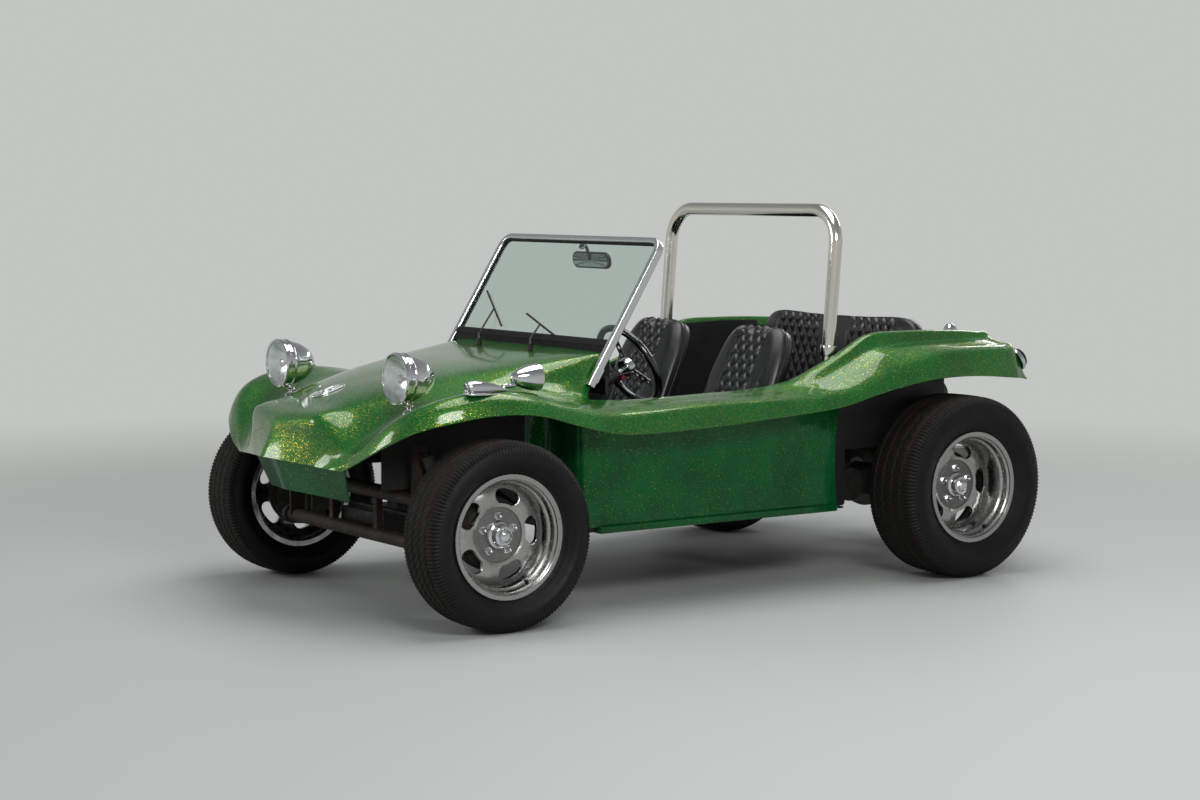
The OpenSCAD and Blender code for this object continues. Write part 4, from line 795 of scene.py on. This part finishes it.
def tyreSurfaces(r, w, rimW):
    # outline from one bead over the tread to the other, denser on the tread; circumferential grooves
    # wander by an arcsin(sin) zigzag, and sipes follow ((1 + cos(turn * sipes)) / 2)^n
    t = tyreStyle
    half = splineRows(np.array([[191, rimW / 2 - 22], [199, rimW / 2 - 10.5], [208.5, rimW / 2 - 5.5],
                                [216.5, rimW / 2 - 1.5],
                                [(191 + r) / 2, w / 2 - 1], [r - 32, w * 0.478], [r - 12, w * 0.435],
                                [r - 3.5, w * 0.37], [r - 0.8, w * 0.2], [r, 0]], float), 12)
    line = np.concatenate([half, half[-2::-1] * [1, -1]])
    dense = np.where(line[:, 0] > r - 22, 1 / 2.2, 1 / 4.6)
    steps = np.linalg.norm(np.diff(line, axis=0), axis=1) * (dense[1:] + dense[:-1]) / 2
    run = np.concatenate([[0], np.cumsum(steps)])
    even = np.linspace(0, run[-1], t["across"])
    radius, out = np.interp(even, run, line[:, 0]), np.interp(even, run, line[:, 1])
    tangent = unit(np.stack([np.gradient(radius), np.gradient(out)], -1))
    normal = np.stack([-tangent[:, 1], tangent[:, 0]], -1)
    normal *= np.sign((normal[:, :1] * (radius[:, None] - 150)).mean())
    turn = np.linspace(0, 2 * np.pi, t["around"], endpoint=False)[:, None]
    zigzag = t["zigzag"] * np.arcsin(np.sin(turn * t["sipes"] / 3)) / (np.pi / 2)
    grooves = sum(bump(np.abs(out)[None] - w * place - zigzag * way, t["grooveWide"])
                  for place, way in zip(t["grooves"], (-1, 1)))
    onTread = (radius > r - 12)[None]
    shoulder = smooth(np.abs(out), w * 0.28, w * 0.31) * (1 - smooth(np.abs(out), w * 0.465, w * 0.482))
    shoulder = shoulder * (radius > r - 40)
    sipes = ((1 + np.cos(turn * t["sipes"])) / 2) ** 1.5 * shoulder[None] * t["sipeDepth"]
    hooks = ((1 + np.cos(turn * t["sipes"] / 2 + out[None] * 0.2)) / 2) ** 4 * (np.abs(out) < w * 0.25)[None]
    hooks = hooks * onTread * t["hookDepth"]
    ribs = 0.9 * bump(radius - (r - 44), 3) + 0.8 * bump(radius - (r - 54), 2.5) - 1.6 * bump(radius - 226, 4)
    depth = np.maximum(np.maximum(grooves * onTread * t["grooveDepth"], sipes), hooks) + ribs[None]
    r2 = radius[None] - depth * normal[None, :, 0]
    x2 = out[None] - depth * normal[None, :, 1]
    grid = np.stack([x2, r2 * np.cos(turn), r2 * np.sin(turn)], -1)
    cells = quads(*grid.shape[:2], True, True)
    column = np.arange(len(cells)) % t["across"]
    worn = (np.abs(out) < w * 0.44)[column] & (radius > r - 30)[column]
    return [(grid, cells[~worn], 0), (grid, cells[worn], 1)]


def toHub(surfaces, hub, side):
    # surfaces in millimetres about their own hub, out to one side of the car
    return [(s[0] * mm * [side, 1, 1] + hub, *s[1:]) for s in surfaces]


wheelSets = {"front": (frontHub, wheelSurfaces(72, -84), tyreSurfaces(314.5, 209, 144)),
             "rear": (rearHub, wheelSurfaces(104, -140), tyreSurfaces(340, 258, 208))}
for end, (hub, wheelShape, tyreShape) in wheelSets.items():
    for name, side in (("left", 1), ("right", -1)):
        centre = hub * [side, 1, 1]
        makePiece(f"slotted_wheel_{end}_{name}", toHub(wheelShape, centre, side),
                  [wheelAlloy, satinAlloy, chrome, drumIron, rubber],
                  body=f"{end}_{name}_wheel", stands=[f"wheel_{end}_{name}"], crease=30)
        makePiece(f"radial_tyre_{end}_{name}", toHub(tyreShape, centre, side), [rubber, treadRubber],
                  body=f"{end}_{name}_wheel", stands=[f"tyre_{end}_{name}"], crease=50)
print("wheels ready")


# headlights, signals, mirror and badge
lampStyle = {"radius": 88, "length": 150, "ahead": 61, "lift": 114, "at": (4, 4.25)}


def shifted(surfaces, origin):
    # surfaces in millimetres about an origin in the frame
    return [(s[0] * mm + origin, *s[1:]) for s in surfaces]


def headlightSurfaces():
    # finishes: chrome, reflector, lens; measured from the middle of the lens, y backwards
    r, deep, y = lampStyle["radius"], lampStyle["length"], (0, 1, 0)
    bezel = [[r - 10, 9], [r - 9, 5.5], [r - 6, 3], [r - 2.5, 4], [r, 8], [r, 19], [r - 1.5, 22.5],
             [r - 3.5, 24.5], [r - 4, 36], [r - 2.5, 38.5], [r - 1.5, 41], [r - 2.5, 43.5], [r - 4.5, 45.5]]
    tail = splineRows(np.array([[r - 5, 48], [0.9 * r, 62], [0.76 * r, 0.65 * deep], [0.52 * r, 0.86 * deep],
                                [0.26 * r, 0.965 * deep], [0, deep]]), 6)
    bowl = np.linspace(1, 0, 14)
    mirror = np.stack([(r - 10) * bowl, 60 - 51 * bowl**2], -1)  # a paraboloid, depth as the radius squared
    lensOuter = np.linspace(0, 1, 12)
    front = np.stack([(r - 9.5) * lensOuter, -6 + 12.5 * lensOuter**2], -1)
    lens = np.concatenate([front, front[::-1] * [0.99, 1] + [0, 3.2]])
    cap = [[0, 22], [10, 22], [15, 25], [16, 29], [13, 32], [5, 34], [5, 58], [0, 58]]
    return [(*turned(np.concatenate([bezel, tail]), (0, 0, 0), y, 96), 0),
            (*turned(mirror, (0, 0, 0), y, 64), 1),
            (*turned(lens, (0, 0, 0), y, 64), 2), (*turned(cap, (0, 0, 0), y, 32), 0)]


foot = hoodPoint(*lampStyle["at"])[0]
lampMiddle = foot + np.array([0, -lampStyle["ahead"], lampStyle["lift"]]) * mm
pedestal = [[0, -9], [24, -9], [24, -2], [21, 3], [14, 7], [10, 9], [9.5, 12], [12.5, 15], [13.5, 19], [12, 23],
            [9, 25.5], [9, 28], [12, 31], [13, 35], [10, 40], [0, 46]]
lampSet = shifted(headlightSurfaces(), lampMiddle)
lampSet += shifted([(*turned(pedestal, (0, 0, 0), (0, 0, 1), 40), 0)], foot)
lampSet += [mirrored(s) for s in lampSet]
makePiece("bullet_headlights", lampSet, [chrome, reflector, lensGlass], stands=["headlights"],
          crease=30)

# front signals: half a teardrop on a thin flange, blunt and glazed ahead, drawn out to a tip behind
signalShape = np.array([[0, 0.72], [4, 0.86], [14, 0.97], [34, 1.0], [60, 0.93], [95, 0.74], [125, 0.5],
                        [148, 0.27], [162, 0.1], [166, 0.0]])
back = unit(np.array([-0.052, 0.998, -0.03]))
over = unit(np.cross(np.cross(back, [0, 0, 1]), back))
start = np.array([676, -90, 779 + 19.0])
fine = splineRows(signalShape, 4)
spine = start + fine[:, :1] * back + over * (fine[:, 1:] - 1) * 12
signal = sweep(spine, circle(24, 40, 0.95), over, grow=np.maximum(fine[:, 1], 0.004))
flangeShape = splineRows(np.array([[0, 0.78], [20, 1.0], [60, 0.97], [110, 0.7], [150, 0.33], [170, 0.03]]), 5)
flangeLine = np.concatenate([flangeShape * [1, 29], flangeShape[::-1] * [1, -29]])
flange = slab(flangeLine[::-1], 7, 2, plane(at(start - over * 25), back, np.cross(over, back)))
lensFront = turned([[0, -7], [9, -5.5], [15, -2], [17.5, 1], [0, 1]], start - over * 3.3, back, 32)
signalSet = placed([(*signal, 0), (*lensFront, 1)]) + [(*flange, 0)]
signalSet += [mirrored(s) for s in signalSet]
makePiece("teardrop_signals", signalSet, [chrome, lensGlass], stands=["turn_signals"],
          crease=40)

# fender mirror on the left: a bullet on a short curved neck; the inside mirror hangs from the top bar
bullet = splineRows(np.array([[46, 8], [45, 24], [41, 44], [31, 74], [18, 97], [0, 108]], float), 5)
bullet = np.concatenate([[[0, 4], [41, 4], [42, 0], [44.5, -1.5], [47, 1], [47, 6]], bullet])
mirrorAt = np.array([610, 226, 815.0])
mirrorFoot = (hoodPoint(5.5, 6.5)[0] - [0, frontHub[1], 0]) / mm
neckPoints = [mirrorFoot - [0, 0, 4], mirrorFoot + [0, 4, 14], [611, 128, 792], [610, 168, 806],
              [610, 186, 812]]
neckLine = splineRows(np.array(neckPoints), 8)
neck = sweep(neckLine, circle(7, 20), (1, 0, 0), grow=np.linspace(1.3, 0.95, len(neckLine)))
base = turned([[0, -8], [19, -8], [19, -1], [16, 4], [11, 7], [9, 12], [0, 14]], mirrorFoot, (0, 0, 1), 32)
fenderMirror = [turned(bullet, mirrorAt, (0, -1, 0), 72), neck, base]
print("lamps ready")


# windshield, roll bar, inside mirror
screen = {"halfWidth": 516, "height": 440, "bar": 22, "depth": 32, "leg": 152, "rake": 32, "corner": 46,
          "glass": 5}
rake = math.radians(screen["rake"])
screenFoot = np.array([0, 594, 893.0])
upGlass = np.array([0, math.sin(rake), math.cos(rake)])
outGlass = np.array([0, math.cos(rake), -math.sin(rake)])


def onScreen(points):
    # across, up the glass and out of it towards the seats, to drawing millimetres
    points = np.asarray(points, float)
    return screenFoot + points[:, :1] * [1, 0, 0] + points[:, 1:2] * upGlass + points[:, 2:] * outGlass


edge, top = screen["halfWidth"] - screen["bar"] / 2, screen["height"] - screen["bar"] / 2
hoop = bentPath([(edge, -screen["leg"], 0), (edge, top, 0), (-edge, top, 0), (-edge, -screen["leg"], 0)],
                screen["corner"], 14)
rail = roundedBox(screen["bar"], screen["depth"], 6)
innerX, innerLow, innerHigh = edge - 13, screen["bar"] + 3, top - 13
gasketLine = bentPath([(innerX, innerLow, 0), (innerX, innerHigh, 0), (-innerX, innerHigh, 0),
                       (-innerX, innerLow, 0)],
                      [8, 34, 34, 8], 10, True)


def sweepScreen(path, section, closed=False):
    grid, cells = sweep(onScreen(path), section, outGlass, closed)
    return at(grid), cells


lowBar = sweepScreen([(-edge + 8, 11, 0), (edge - 8, 11, 0)], roundedBox(24, 28, 4))
clampX = edge - 6
feet = []
for side in (1, -1):
    footAt = at(onScreen([(side * clampX, -screen["leg"] + 46, 18)]))[0]
    feet.append(slab(roundedBox(34, 60, 6), 8, 2, plane(footAt, (side, 0, 0), upGlass * side)))
makePiece("windshield_hoop",
          [sweepScreen(hoop, rail), (*sweepScreen(gasketLine, roundedBox(9, 14, 3), True), 1),
                              (*lowBar, 1), *[(*f, 0) for f in feet]], [frameAlloy, rubber],
          stands=["windshield_frame"], crease=30)
sealX = np.linspace(-489, 489, 60)
sealFoot = np.interp(np.abs(sealX), frontNet[-1, :5, 0], frontNet[-1, :5, 2]) - 4
sealTop = np.full(len(sealX), screenFoot[2] + 6)
sealRing = [(sealX, np.full(len(sealX), y), z)
            for y, z in ((580, sealTop), (606, sealTop), (606, sealFoot), (580, sealFoot))]
sealGrid = np.stack([np.stack(corner, -1) for corner in sealRing], 1)
sealEnds = np.arange(4) + [[0], [4 * len(sealX) - 4]]
makePiece("cowl_seal", [(at(sealGrid), np.concatenate([quads(len(sealX), 4, False, True), sealEnds]))],
          [rubber], crease=30)
paneShape = roundedBox(2 * (innerX + 2), innerHigh - innerLow + 4, 30)
paneAt = at(onScreen([(0, (innerLow + innerHigh) / 2, -screen["glass"] / 2)]))[0]
pane = slab(paneShape, screen["glass"], 0.6, plane(paneAt, (-1, 0, 0), upGlass))
makePiece("windshield_pane", [pane], [windowGlass], stands=["windshield_glass"])

bar = {"radius": 25, "halfWidth": 508, "top": 1365, "foot": (1538, 268.6), "lean": 4.5, "bend": 125}
lean = math.radians(bar["lean"])
length = (bar["top"] - bar["foot"][1]) / math.cos(lean)
footY, footZ = bar["foot"]
topY = footY + length * math.sin(lean)
barPath = bentPath([(bar["halfWidth"], footY, footZ), (bar["halfWidth"], topY, bar["top"]),
                    (-bar["halfWidth"], topY, bar["top"]), (-bar["halfWidth"], footY, footZ)], bar["bend"], 24)
hoopTube = sweep(barPath, circle(bar["radius"], 48), (0, math.cos(lean), -math.sin(lean)))
collars, plates = [], []
legUp = np.array([0, math.sin(lean), math.cos(lean)])
for s in (1, -1):
    legFoot = np.array([s * bar["halfWidth"], footY, footZ])
    collar = [[25, 0], [30, 0], [31, 3], [31, 37], [30, 40], [25, 40]]
    collars.append(turned(collar, legFoot + legUp * 560, legUp, 48))
    plates.append(slab(roundedBox(84, 100, 10), 8, 1.5, plane(at(legFoot), (1, 0, 0), (0, 1, 0))))
makePiece("roll_hoop", placed([hoopTube, *collars]) + plates, [tubeChrome],
          stands=["roll_bar"], crease=35)

mirrorMiddle = onScreen([(0, 390, 84)])[0]
tilt = math.radians(10)
mirrorUp = np.array([0, -math.sin(tilt), math.cos(tilt)])
mirrorBack = plane(at(mirrorMiddle - 8 * np.array([0, math.cos(tilt), math.sin(tilt)])), (-1, 0, 0), mirrorUp)
insideShell = slab(roundedBox(236, 62, 28, 10), 16, 6, mirrorBack)
insideGlass = slab(roundedBox(222, 50, 24, 10), 17.2, 0.8, mirrorBack)
stemLine = np.array([*onScreen([(0, 424, 20), (0, 412, 46)]), mirrorMiddle - [0, 8, 0]])
stem = sweep(splineRows(stemLine, 6), circle(6, 16), (1, 0, 0))
boss = slab(roundedBox(30, 42, 8), 8, 2, plane(at(onScreen([(0, 420, 16)])[0]), (-1, 0, 0), upGlass))
makePiece("mirrors_inside_and_fender", [(*insideShell, 1), (*insideGlass, 0), *placed([(*stem, 1)]), (*boss, 0)]
          + placed(fenderMirror), [chrome, gloveBlack], stands=["mirrors"], crease=35)
print("windshield and roll bar ready")


# steering wheel, gauges, tail lights, badge and deck dome
helm = {"hub": (300, 827, 811), "rake": 28, "rim": 152, "grip": 13, "holes": ((52, 8.5), (80, 7.5), (108, 6.5)),
        "plate": 4}
tip = math.radians(helm["rake"])
column = np.array([0, math.cos(tip), math.sin(tip)])
faceUp = np.array([0, -math.sin(tip), math.cos(tip)])
hubAt = np.array(helm["hub"], float)


def drilledSpoke(angle):
    # three square cells in a row, each with a round hole, their shared sides left open
    cells, out = [], []
    for distance, hole in helm["holes"]:
        ring, box = raysFromSlot(2 * hole, 2 * hole, 14, 14, 10)
        border = box * [14.0, 14.0]
        rows = np.stack([ring, ring, ring * 1.08, border * 0.96, border, border])
        depth = np.array([0, helm["plate"] - 0.6, helm["plate"], helm["plate"], helm["plate"] - 0.6, 0])
        high = np.broadcast_to(depth[:, None, None], (6, len(box), 1))
        grid = np.concatenate([rows + [0, distance], high], -1)
        faces = quads(6, len(box), True, True)
        row, col = np.divmod(np.arange(len(faces)), len(box))
        onSide = np.abs(box[:, 1]) == 1
        shared = (row == 4) & onSide[col] & onSide[(col + 1) % len(box)]
        cells.append((grid, faces[~shared]))
    side = math.cos(angle) * np.array([-1, 0, 0]) + math.sin(angle) * faceUp
    along = np.cross(column, side)
    for grid, faces in cells:
        points = hubAt + grid[..., :1] * side + grid[..., 1:2] * along + (grid[..., 2:] - 12) * column
        out.append((points, faces, 1))
    return out


rimRing = turned(circle(helm["grip"], 28) + [helm["rim"], 0], hubAt, column, 120, True)
helmParts = [(*rimRing, 0)]
for k in range(3):
    helmParts += drilledSpoke(math.radians(120 * k))
hubProfile = [[0, -26], [33, -26], [34, -22], [34, -6], [31, -1], [31, 3], [27, 5], [24, 5]]
hornButton = [[0, 3], [24, 4], [23, 9], [16, 13], [0, 15]]
helmParts += [(*turned(hubProfile, hubAt, column, 48), 2), (*turned(hornButton, hubAt, column, 40), 0),
              (*turned([[10, -230], [10, -24]], hubAt, column, 24), 2)]
makePiece("sport_steering_wheel", placed(helmParts), [gripBlack, satinAlloy, chrome], body="steering",
          stands=["steering_wheel"], crease=35)

gauge = {"radius": 25, "across": (60, 130, 210), "back": 600, "high": 814.0}
gauges, radius, rearwards = [], gauge["radius"], (0, 1, 0)
for x in gauge["across"]:
    dialAt = np.array([x, gauge["back"], gauge["high"]])
    bezel = [[radius - 4, 2], [radius, 3.5], [radius + 3, 3], [radius + 4, 0], [radius + 4, -1]]
    dial = [[0, -2], [radius - 3, -2], [radius - 3, 2]]
    gauges += [(*turned(bezel, dialAt, rearwards, 40), 0), (*turned(dial, dialAt, rearwards, 40), 1)]
    for tick in np.radians(np.arange(-210, 31, 30)):
        ray = np.array([-math.cos(tick), 0, -math.sin(tick)])
        inner, outer = (dialAt + ray * (radius - k) - [0, 1.4, 0] for k in (9, 5))
        gauges.append((*rod(inner, outer, 0.6, 6), 2))
    gauges.append((*rod(dialAt - [0, 0.8, 0], dialAt + np.array([-12, -0.8, 9]), 0.8, 8), 3))
    gauges.append((*turned([[0, 0], [3, 0], [3, -2]], dialAt, rearwards, 16), 1))
stalkLine = [hubAt - column * 70 + [18, 0, 0], hubAt - column * 66 + [48, 0, 4],
             hubAt - column * 52 + [86, 0, 8]]
knob = [[0, -12], [7, -10], [9, -2], [8, 6], [0, 9]]
stalk = [(*sweep(splineRows(np.array(stalkLine), 5), circle(3.2, 12), column), 0),
         (*turned(knob, hubAt - column * 50 + [27, -4, -16], (1, 0, 0), 20), 3)]
makePiece("gauges_and_column_switch", placed(gauges + stalk), [chrome, dialBlack, dialWhite, redPlastic],
          crease=35)

stripNormals = normalsOf(stripGrid)
lampRow, lampColumn = int(11.5 * body["stripSteps"]), int(4.7 * body["columnSteps"])
tailAt, tailOut = stripGrid[lampRow, lampColumn], stripNormals[lampRow, lampColumn]
tailBezel = [[0, -6], [46, -6], [46, 5], [44, 9], [40, 11], [38.5, 9]]
tailLens = [[38.5, 6], [38.5, 12], [35, 21], [27, 27], [14, 31], [0, 32]]
tailSet = shifted([(*turned(tailBezel, (0, 0, 0), tailOut, 56), 0),
                   (*turned(tailLens, (0, 0, 0), tailOut, 56), 1)], tailAt)
tailSet += [mirrored(s) for s in tailSet]
makePiece("round_tail_lights", tailSet, [chrome, redLens], stands=["tail_lights"], crease=30)

badgeAt, badgeOut = hoodPoint(0, 3.57)
badgeUp = unit(np.cross([1, 0, 0], badgeOut)) * -1
badgePlace = plane(badgeAt - badgeOut * 2 * mm, (1, 0, 0), badgeUp)
oval = circle(1, 72) * [32, 66]
badge = [slab(oval, 7, 2.5, badgePlace), slab(oval * 0.78, 10, 1.5, badgePlace),
         slab(oval * [0.36, 0.4], 15, 4, badgePlace)]
ribs = [slab(roundedBox(4, 22, 1.5) + [0, s * 36], 12.5, 1, badgePlace) for s in (1, -1)]
ribs += [slab(roundedBox(16, 4, 1.5) + [s * 18, 0], 12.5, 1, badgePlace) for s in (1, -1)]
makePiece("oval_hood_badge", badge + ribs, [chrome], stands=["fuel_cap"], crease=30)
domeProfile = [[0, -6], [34, -6], [34, 3], [31, 7], [29, 20], [24, 36], [14, 48], [0, 53]]
dome = turned(domeProfile, (400, 2298, 872), (0, 0, 1), 48)
makePiece("deck_filler_dome", placed([dome]), [chrome], crease=30)
print("cockpit fittings ready")


# padded seats
seat = {"x": 312, "half": 214, "panel": 80, "diamond": (46, 74), "puff": 13,
        "back": ((1238, 486), (0.4216, 0.9068), 532, 104), "cushion": ((955, 436), (1.0, 0.03), 470, 118)}
bench = {"half": 498, "panelFrom": 95, "panelTo": 345, "back": ((2040, 520), (0.13, 0.9915), 456, 92),
         "cushion": ((1838, 578), (1.0, 0.0), 262, 150)}
inflation = {"pressure": 4.0, "limit": 12, "frames": 20}


def capCells(columns):
    # quads that close a ring of an even count, each joining a point to the one across the thickness
    j = np.arange(columns // 2 - 1)
    return np.stack([j, j + 1, columns - 2 - j, columns - 1 - j], -1)


def padForm(half, thick, length, rows, columns, cornerPower, topPower, lowFull):
    # a padded block in (across, along, out): rings are superellipses, |x/w|^p + |n/t|^p = 1, whose width
    # and thickness close towards the far end as (1 - u^q)^(1/q)
    u = np.linspace(0, 1, rows) ** 0.8
    u = 1 - (1 - u) ** 1.5
    close = (1 - np.clip(u, 0, 0.9995) ** topPower) ** (1 / topPower)
    start = lowFull + (1 - lowFull) * smooth(u, -0.02, 0.1)
    turn = np.linspace(0, 2 * np.pi, 4001)
    c, s = np.cos(turn), np.sin(turn)
    radius = (np.abs(c) ** cornerPower + np.abs(s) ** cornerPower) ** (-1 / cornerPower)
    ring = np.stack([half * radius * c, thick / 2 * radius * s], -1)
    run = np.concatenate([[0], np.cumsum(np.linalg.norm(np.diff(ring, axis=0), axis=1))])
    places = (np.arange(columns) + 0.5) / columns * run[-1]
    ringX, ringN = np.interp(places, run, ring[:, 0]) / half, np.interp(places, run, ring[:, 1]) / (thick / 2)
    width = half * (0.12 + 0.88 * close) * start
    depth = thick / 2 * (0.3 + 0.7 * np.sqrt(close)) * start
    along = np.broadcast_to(u[:, None] * length, (rows, columns))
    return np.stack([width[:, None] * ringX, along, depth[:, None] * ringN], -1)


def blownUp(grid):
    # the cover is sewn closed and blown up as cloth, and no point moves further than the limit
    rows, columns = grid.shape[:2]
    ends = capCells(columns)
    cells = np.concatenate([quads(rows, columns, False, True), ends[:, ::-1], ends + (rows - 1) * columns])
    mesh = bpy.data.meshes.new("cover")
    mesh.from_pydata((grid.reshape(-1, 3) * mm).tolist(), [], cells.tolist())
    faceOutwards(mesh)
    cover = bpy.data.objects.new("cover", mesh)
    scene.collection.objects.link(cover)
    cloth = cover.modifiers.new("cloth", "CLOTH")
    cloth.settings.use_pressure = True
    cloth.settings.uniform_pressure_force = inflation["pressure"]
    cloth.settings.tension_stiffness = cloth.settings.compression_stiffness = 30
    cloth.settings.bending_stiffness = 4
    cloth.settings.effector_weights.gravity = 0
    cloth.point_cache.frame_start, cloth.point_cache.frame_end = 1, inflation["frames"]
    for step in range(1, inflation["frames"] + 1):
        scene.frame_set(step)
    result = cover.evaluated_get(bpy.context.evaluated_depsgraph_get()).data
    points = np.empty(len(result.vertices) * 3, np.float32)
    result.vertices.foreach_get("co", points)
    bpy.data.objects.remove(cover)
    scene.frame_set(1)
    move = points.reshape(grid.shape) / mm - grid
    distance = np.linalg.norm(move, axis=-1, keepdims=True)
    return grid + move * np.minimum(1, inflation["limit"] / np.maximum(distance, 1e-6))


def finer(grid, rowSteps, columnSteps):
    # Catmull-Rom along the block and round each ring
    long = splineRows(grid, rowSteps).swapaxes(0, 1)
    ring = splineRows(np.concatenate([long, long[:1]]), columnSteps, before=long[-1:], after=long[1:2])
    return ring[:-1].swapaxes(0, 1)


def closedNormals(grid):
    # normals of a grid whose columns close on themselves, turned away from its middle
    wrapped = np.concatenate([grid[:, -1:], grid, grid[:, :1]], 1)
    normal = unit(np.cross(np.gradient(wrapped, axis=1), np.gradient(wrapped, axis=0)))[:, 1:-1]
    return normal * np.sign((normal[..., 2] * grid[..., 2]).sum())


def quilted(grid, inPanel, seams):
    # diamonds on the face: puff |sin(pi u) sin(pi v)|^0.55 with u, v = x/46 +- s/74, stitched down along
    # u and v whole; seams are grooves across the width
    wide, tall = seat["diamond"]
    x, s = grid[..., 0], grid[..., 1]
    u, v = x / wide + s / tall, x / wide - s / tall
    pillow = np.abs(np.sin(np.pi * u) * np.sin(np.pi * v)) ** 0.55
    normal = closedNormals(grid)
    face = smooth(normal[..., 2], 0.25, 0.6)
    rise = inPanel(x) * (seat["puff"] * pillow - 8)
    for seamAt, deep in seams:
        rise = rise - deep * bump(np.abs(x) - seamAt, 6)
    wrinkle = 0.9 * np.sin(s / 52 + 1.7 * np.sin(x / 61)) * np.sin(x / 37 + s / 83) * (1 - inPanel(x))
    return grid + normal * (face * (rise + wrinkle))[..., None]


def laid(grid, middleX, spec):
    # (across, along, out) to the frame: along runs up the back or rearwards on the cushion
    (y, z), (dy, dz), length, thick = spec
    along, out = np.array([0, dy, dz]), np.array([0, -dz, dy])
    centre = np.array([middleX, y, z], float)
    return at(centre + grid[..., :1] * [1, 0, 0] + grid[..., 1:2] * along + grid[..., 2:] * out)


def padSurface(grid, number=0):
    # a block's rings as one closed surface, with its two ends capped
    rows, columns = grid.shape[:2]
    ends = capCells(columns)
    return grid, np.concatenate([quads(rows, columns, False, True), ends, ends + (rows - 1) * columns]), number


def pipingAlong(grid, column, radius=2.6):
    # a thin rolled cord along one seam of a block
    rows = np.arange(2, len(grid) - 2)
    return sweep(grid[rows, column], circle(radius * mm, 8), (0.3, 0.2, 0.9))


def seatBlock(half, spec, start, inPanel, seams, rows, columns, fineRows, fineColumns, middleX, corner=4.2,
              top=5.0):
    # form, cloth, finer surface, quilting; the far end is round, the near one tucked away
    length, thick = spec[2], spec[3]
    form = padForm(half - 8, thick - 14, length, rows, columns, corner, top, 0.9)
    form[..., 1] += start
    puffed = blownUp(form)
    fine = finer(puffed, fineRows, fineColumns)
    return laid(quilted(fine, inPanel, seams), middleX, spec)


def frontPanel(x):
    return 1 - smooth(np.abs(x), seat["panel"] - 3, seat["panel"] + 1)


def benchPanel(x):
    a = np.abs(x)
    low, high = bench["panelFrom"], bench["panelTo"]
    return smooth(a, low - 2, low + 2) * (1 - smooth(a, high - 2, high + 2))


seams = [(seat["panel"] + 4, 7)]
backGrid = seatBlock(seat["half"], seat["back"], -40, frontPanel, seams, 40, 64, 4, 4, seat["x"], top=4.5)
cushionGrid = seatBlock(seat["half"], seat["cushion"], -235, frontPanel, seams, 30, 64, 4, 3, seat["x"],
                        top=5.0)
columns = backGrid.shape[1]
acrossSeat = backGrid[40, :columns // 2, 0] / mm - seat["x"]
corners = (196, -196, seat["panel"] + 9, -seat["panel"] - 9)
piping = [pipingAlong(backGrid, int(np.argmin(np.abs(acrossSeat - x)))) for x in corners]
under = slab(roundedBox(420, 470, 30), 80, 8, plane(at([seat["x"], 985, 304]), (1, 0, 0), (0, 1, 0)))
frontSeat = [padSurface(backGrid), padSurface(cushionGrid), *[(*p, 1) for p in piping], (*under, 2)]
for name, surfaces in (("left", frontSeat), ("right", [mirrored(s) for s in frontSeat])):
    piece = makePiece(f"quilted_seat_{name}", surfaces, [leather, pipingLeather, gloveBlack],
                      stands=[f"seat_{name}"], crease=60)
benchSeams = [(bench["panelFrom"] - 4, 6), (bench["panelTo"] + 4, 6)]
benchBack = seatBlock(bench["half"], bench["back"], -20, benchPanel, benchSeams, 30, 130, 4, 3, 0, 5.0, 8.0)
benchSeat = seatBlock(bench["half"], bench["cushion"], -128, benchPanel, benchSeams, 20, 130, 4, 3, 0, 5.0, 8.0)
piece = makePiece("quilted_rear_bench", [padSurface(benchBack), padSurface(benchSeat)], [leather],
                  stands=["rear_bench"], crease=60)
print("seats ready")


# CAD nodes that keep their own shape
keptFinishes = {
    "tub": gloveBlack, "floor_pan": chassisBlack, "dashboard": vinyl, "wipers": wiperBlack,
    "steering_column": chassisBlack, "front_beam": beamPaint, "front_arms": chassisBlack,
    "knuckle_left": forgedSteel, "knuckle_right": forgedSteel, "tie_rod": forgedSteel,
    "rear_suspension": chassisBlack, "transaxle": castAlloy, "engine": castAlloy, "fan_shroud": enamel,
    "exhaust": pipeChrome, "controls": chassisBlack,
}
for node, finish in keptFinishes.items():
    nodes[node].data.materials.clear()
    nodes[node].data.materials.append(finish)
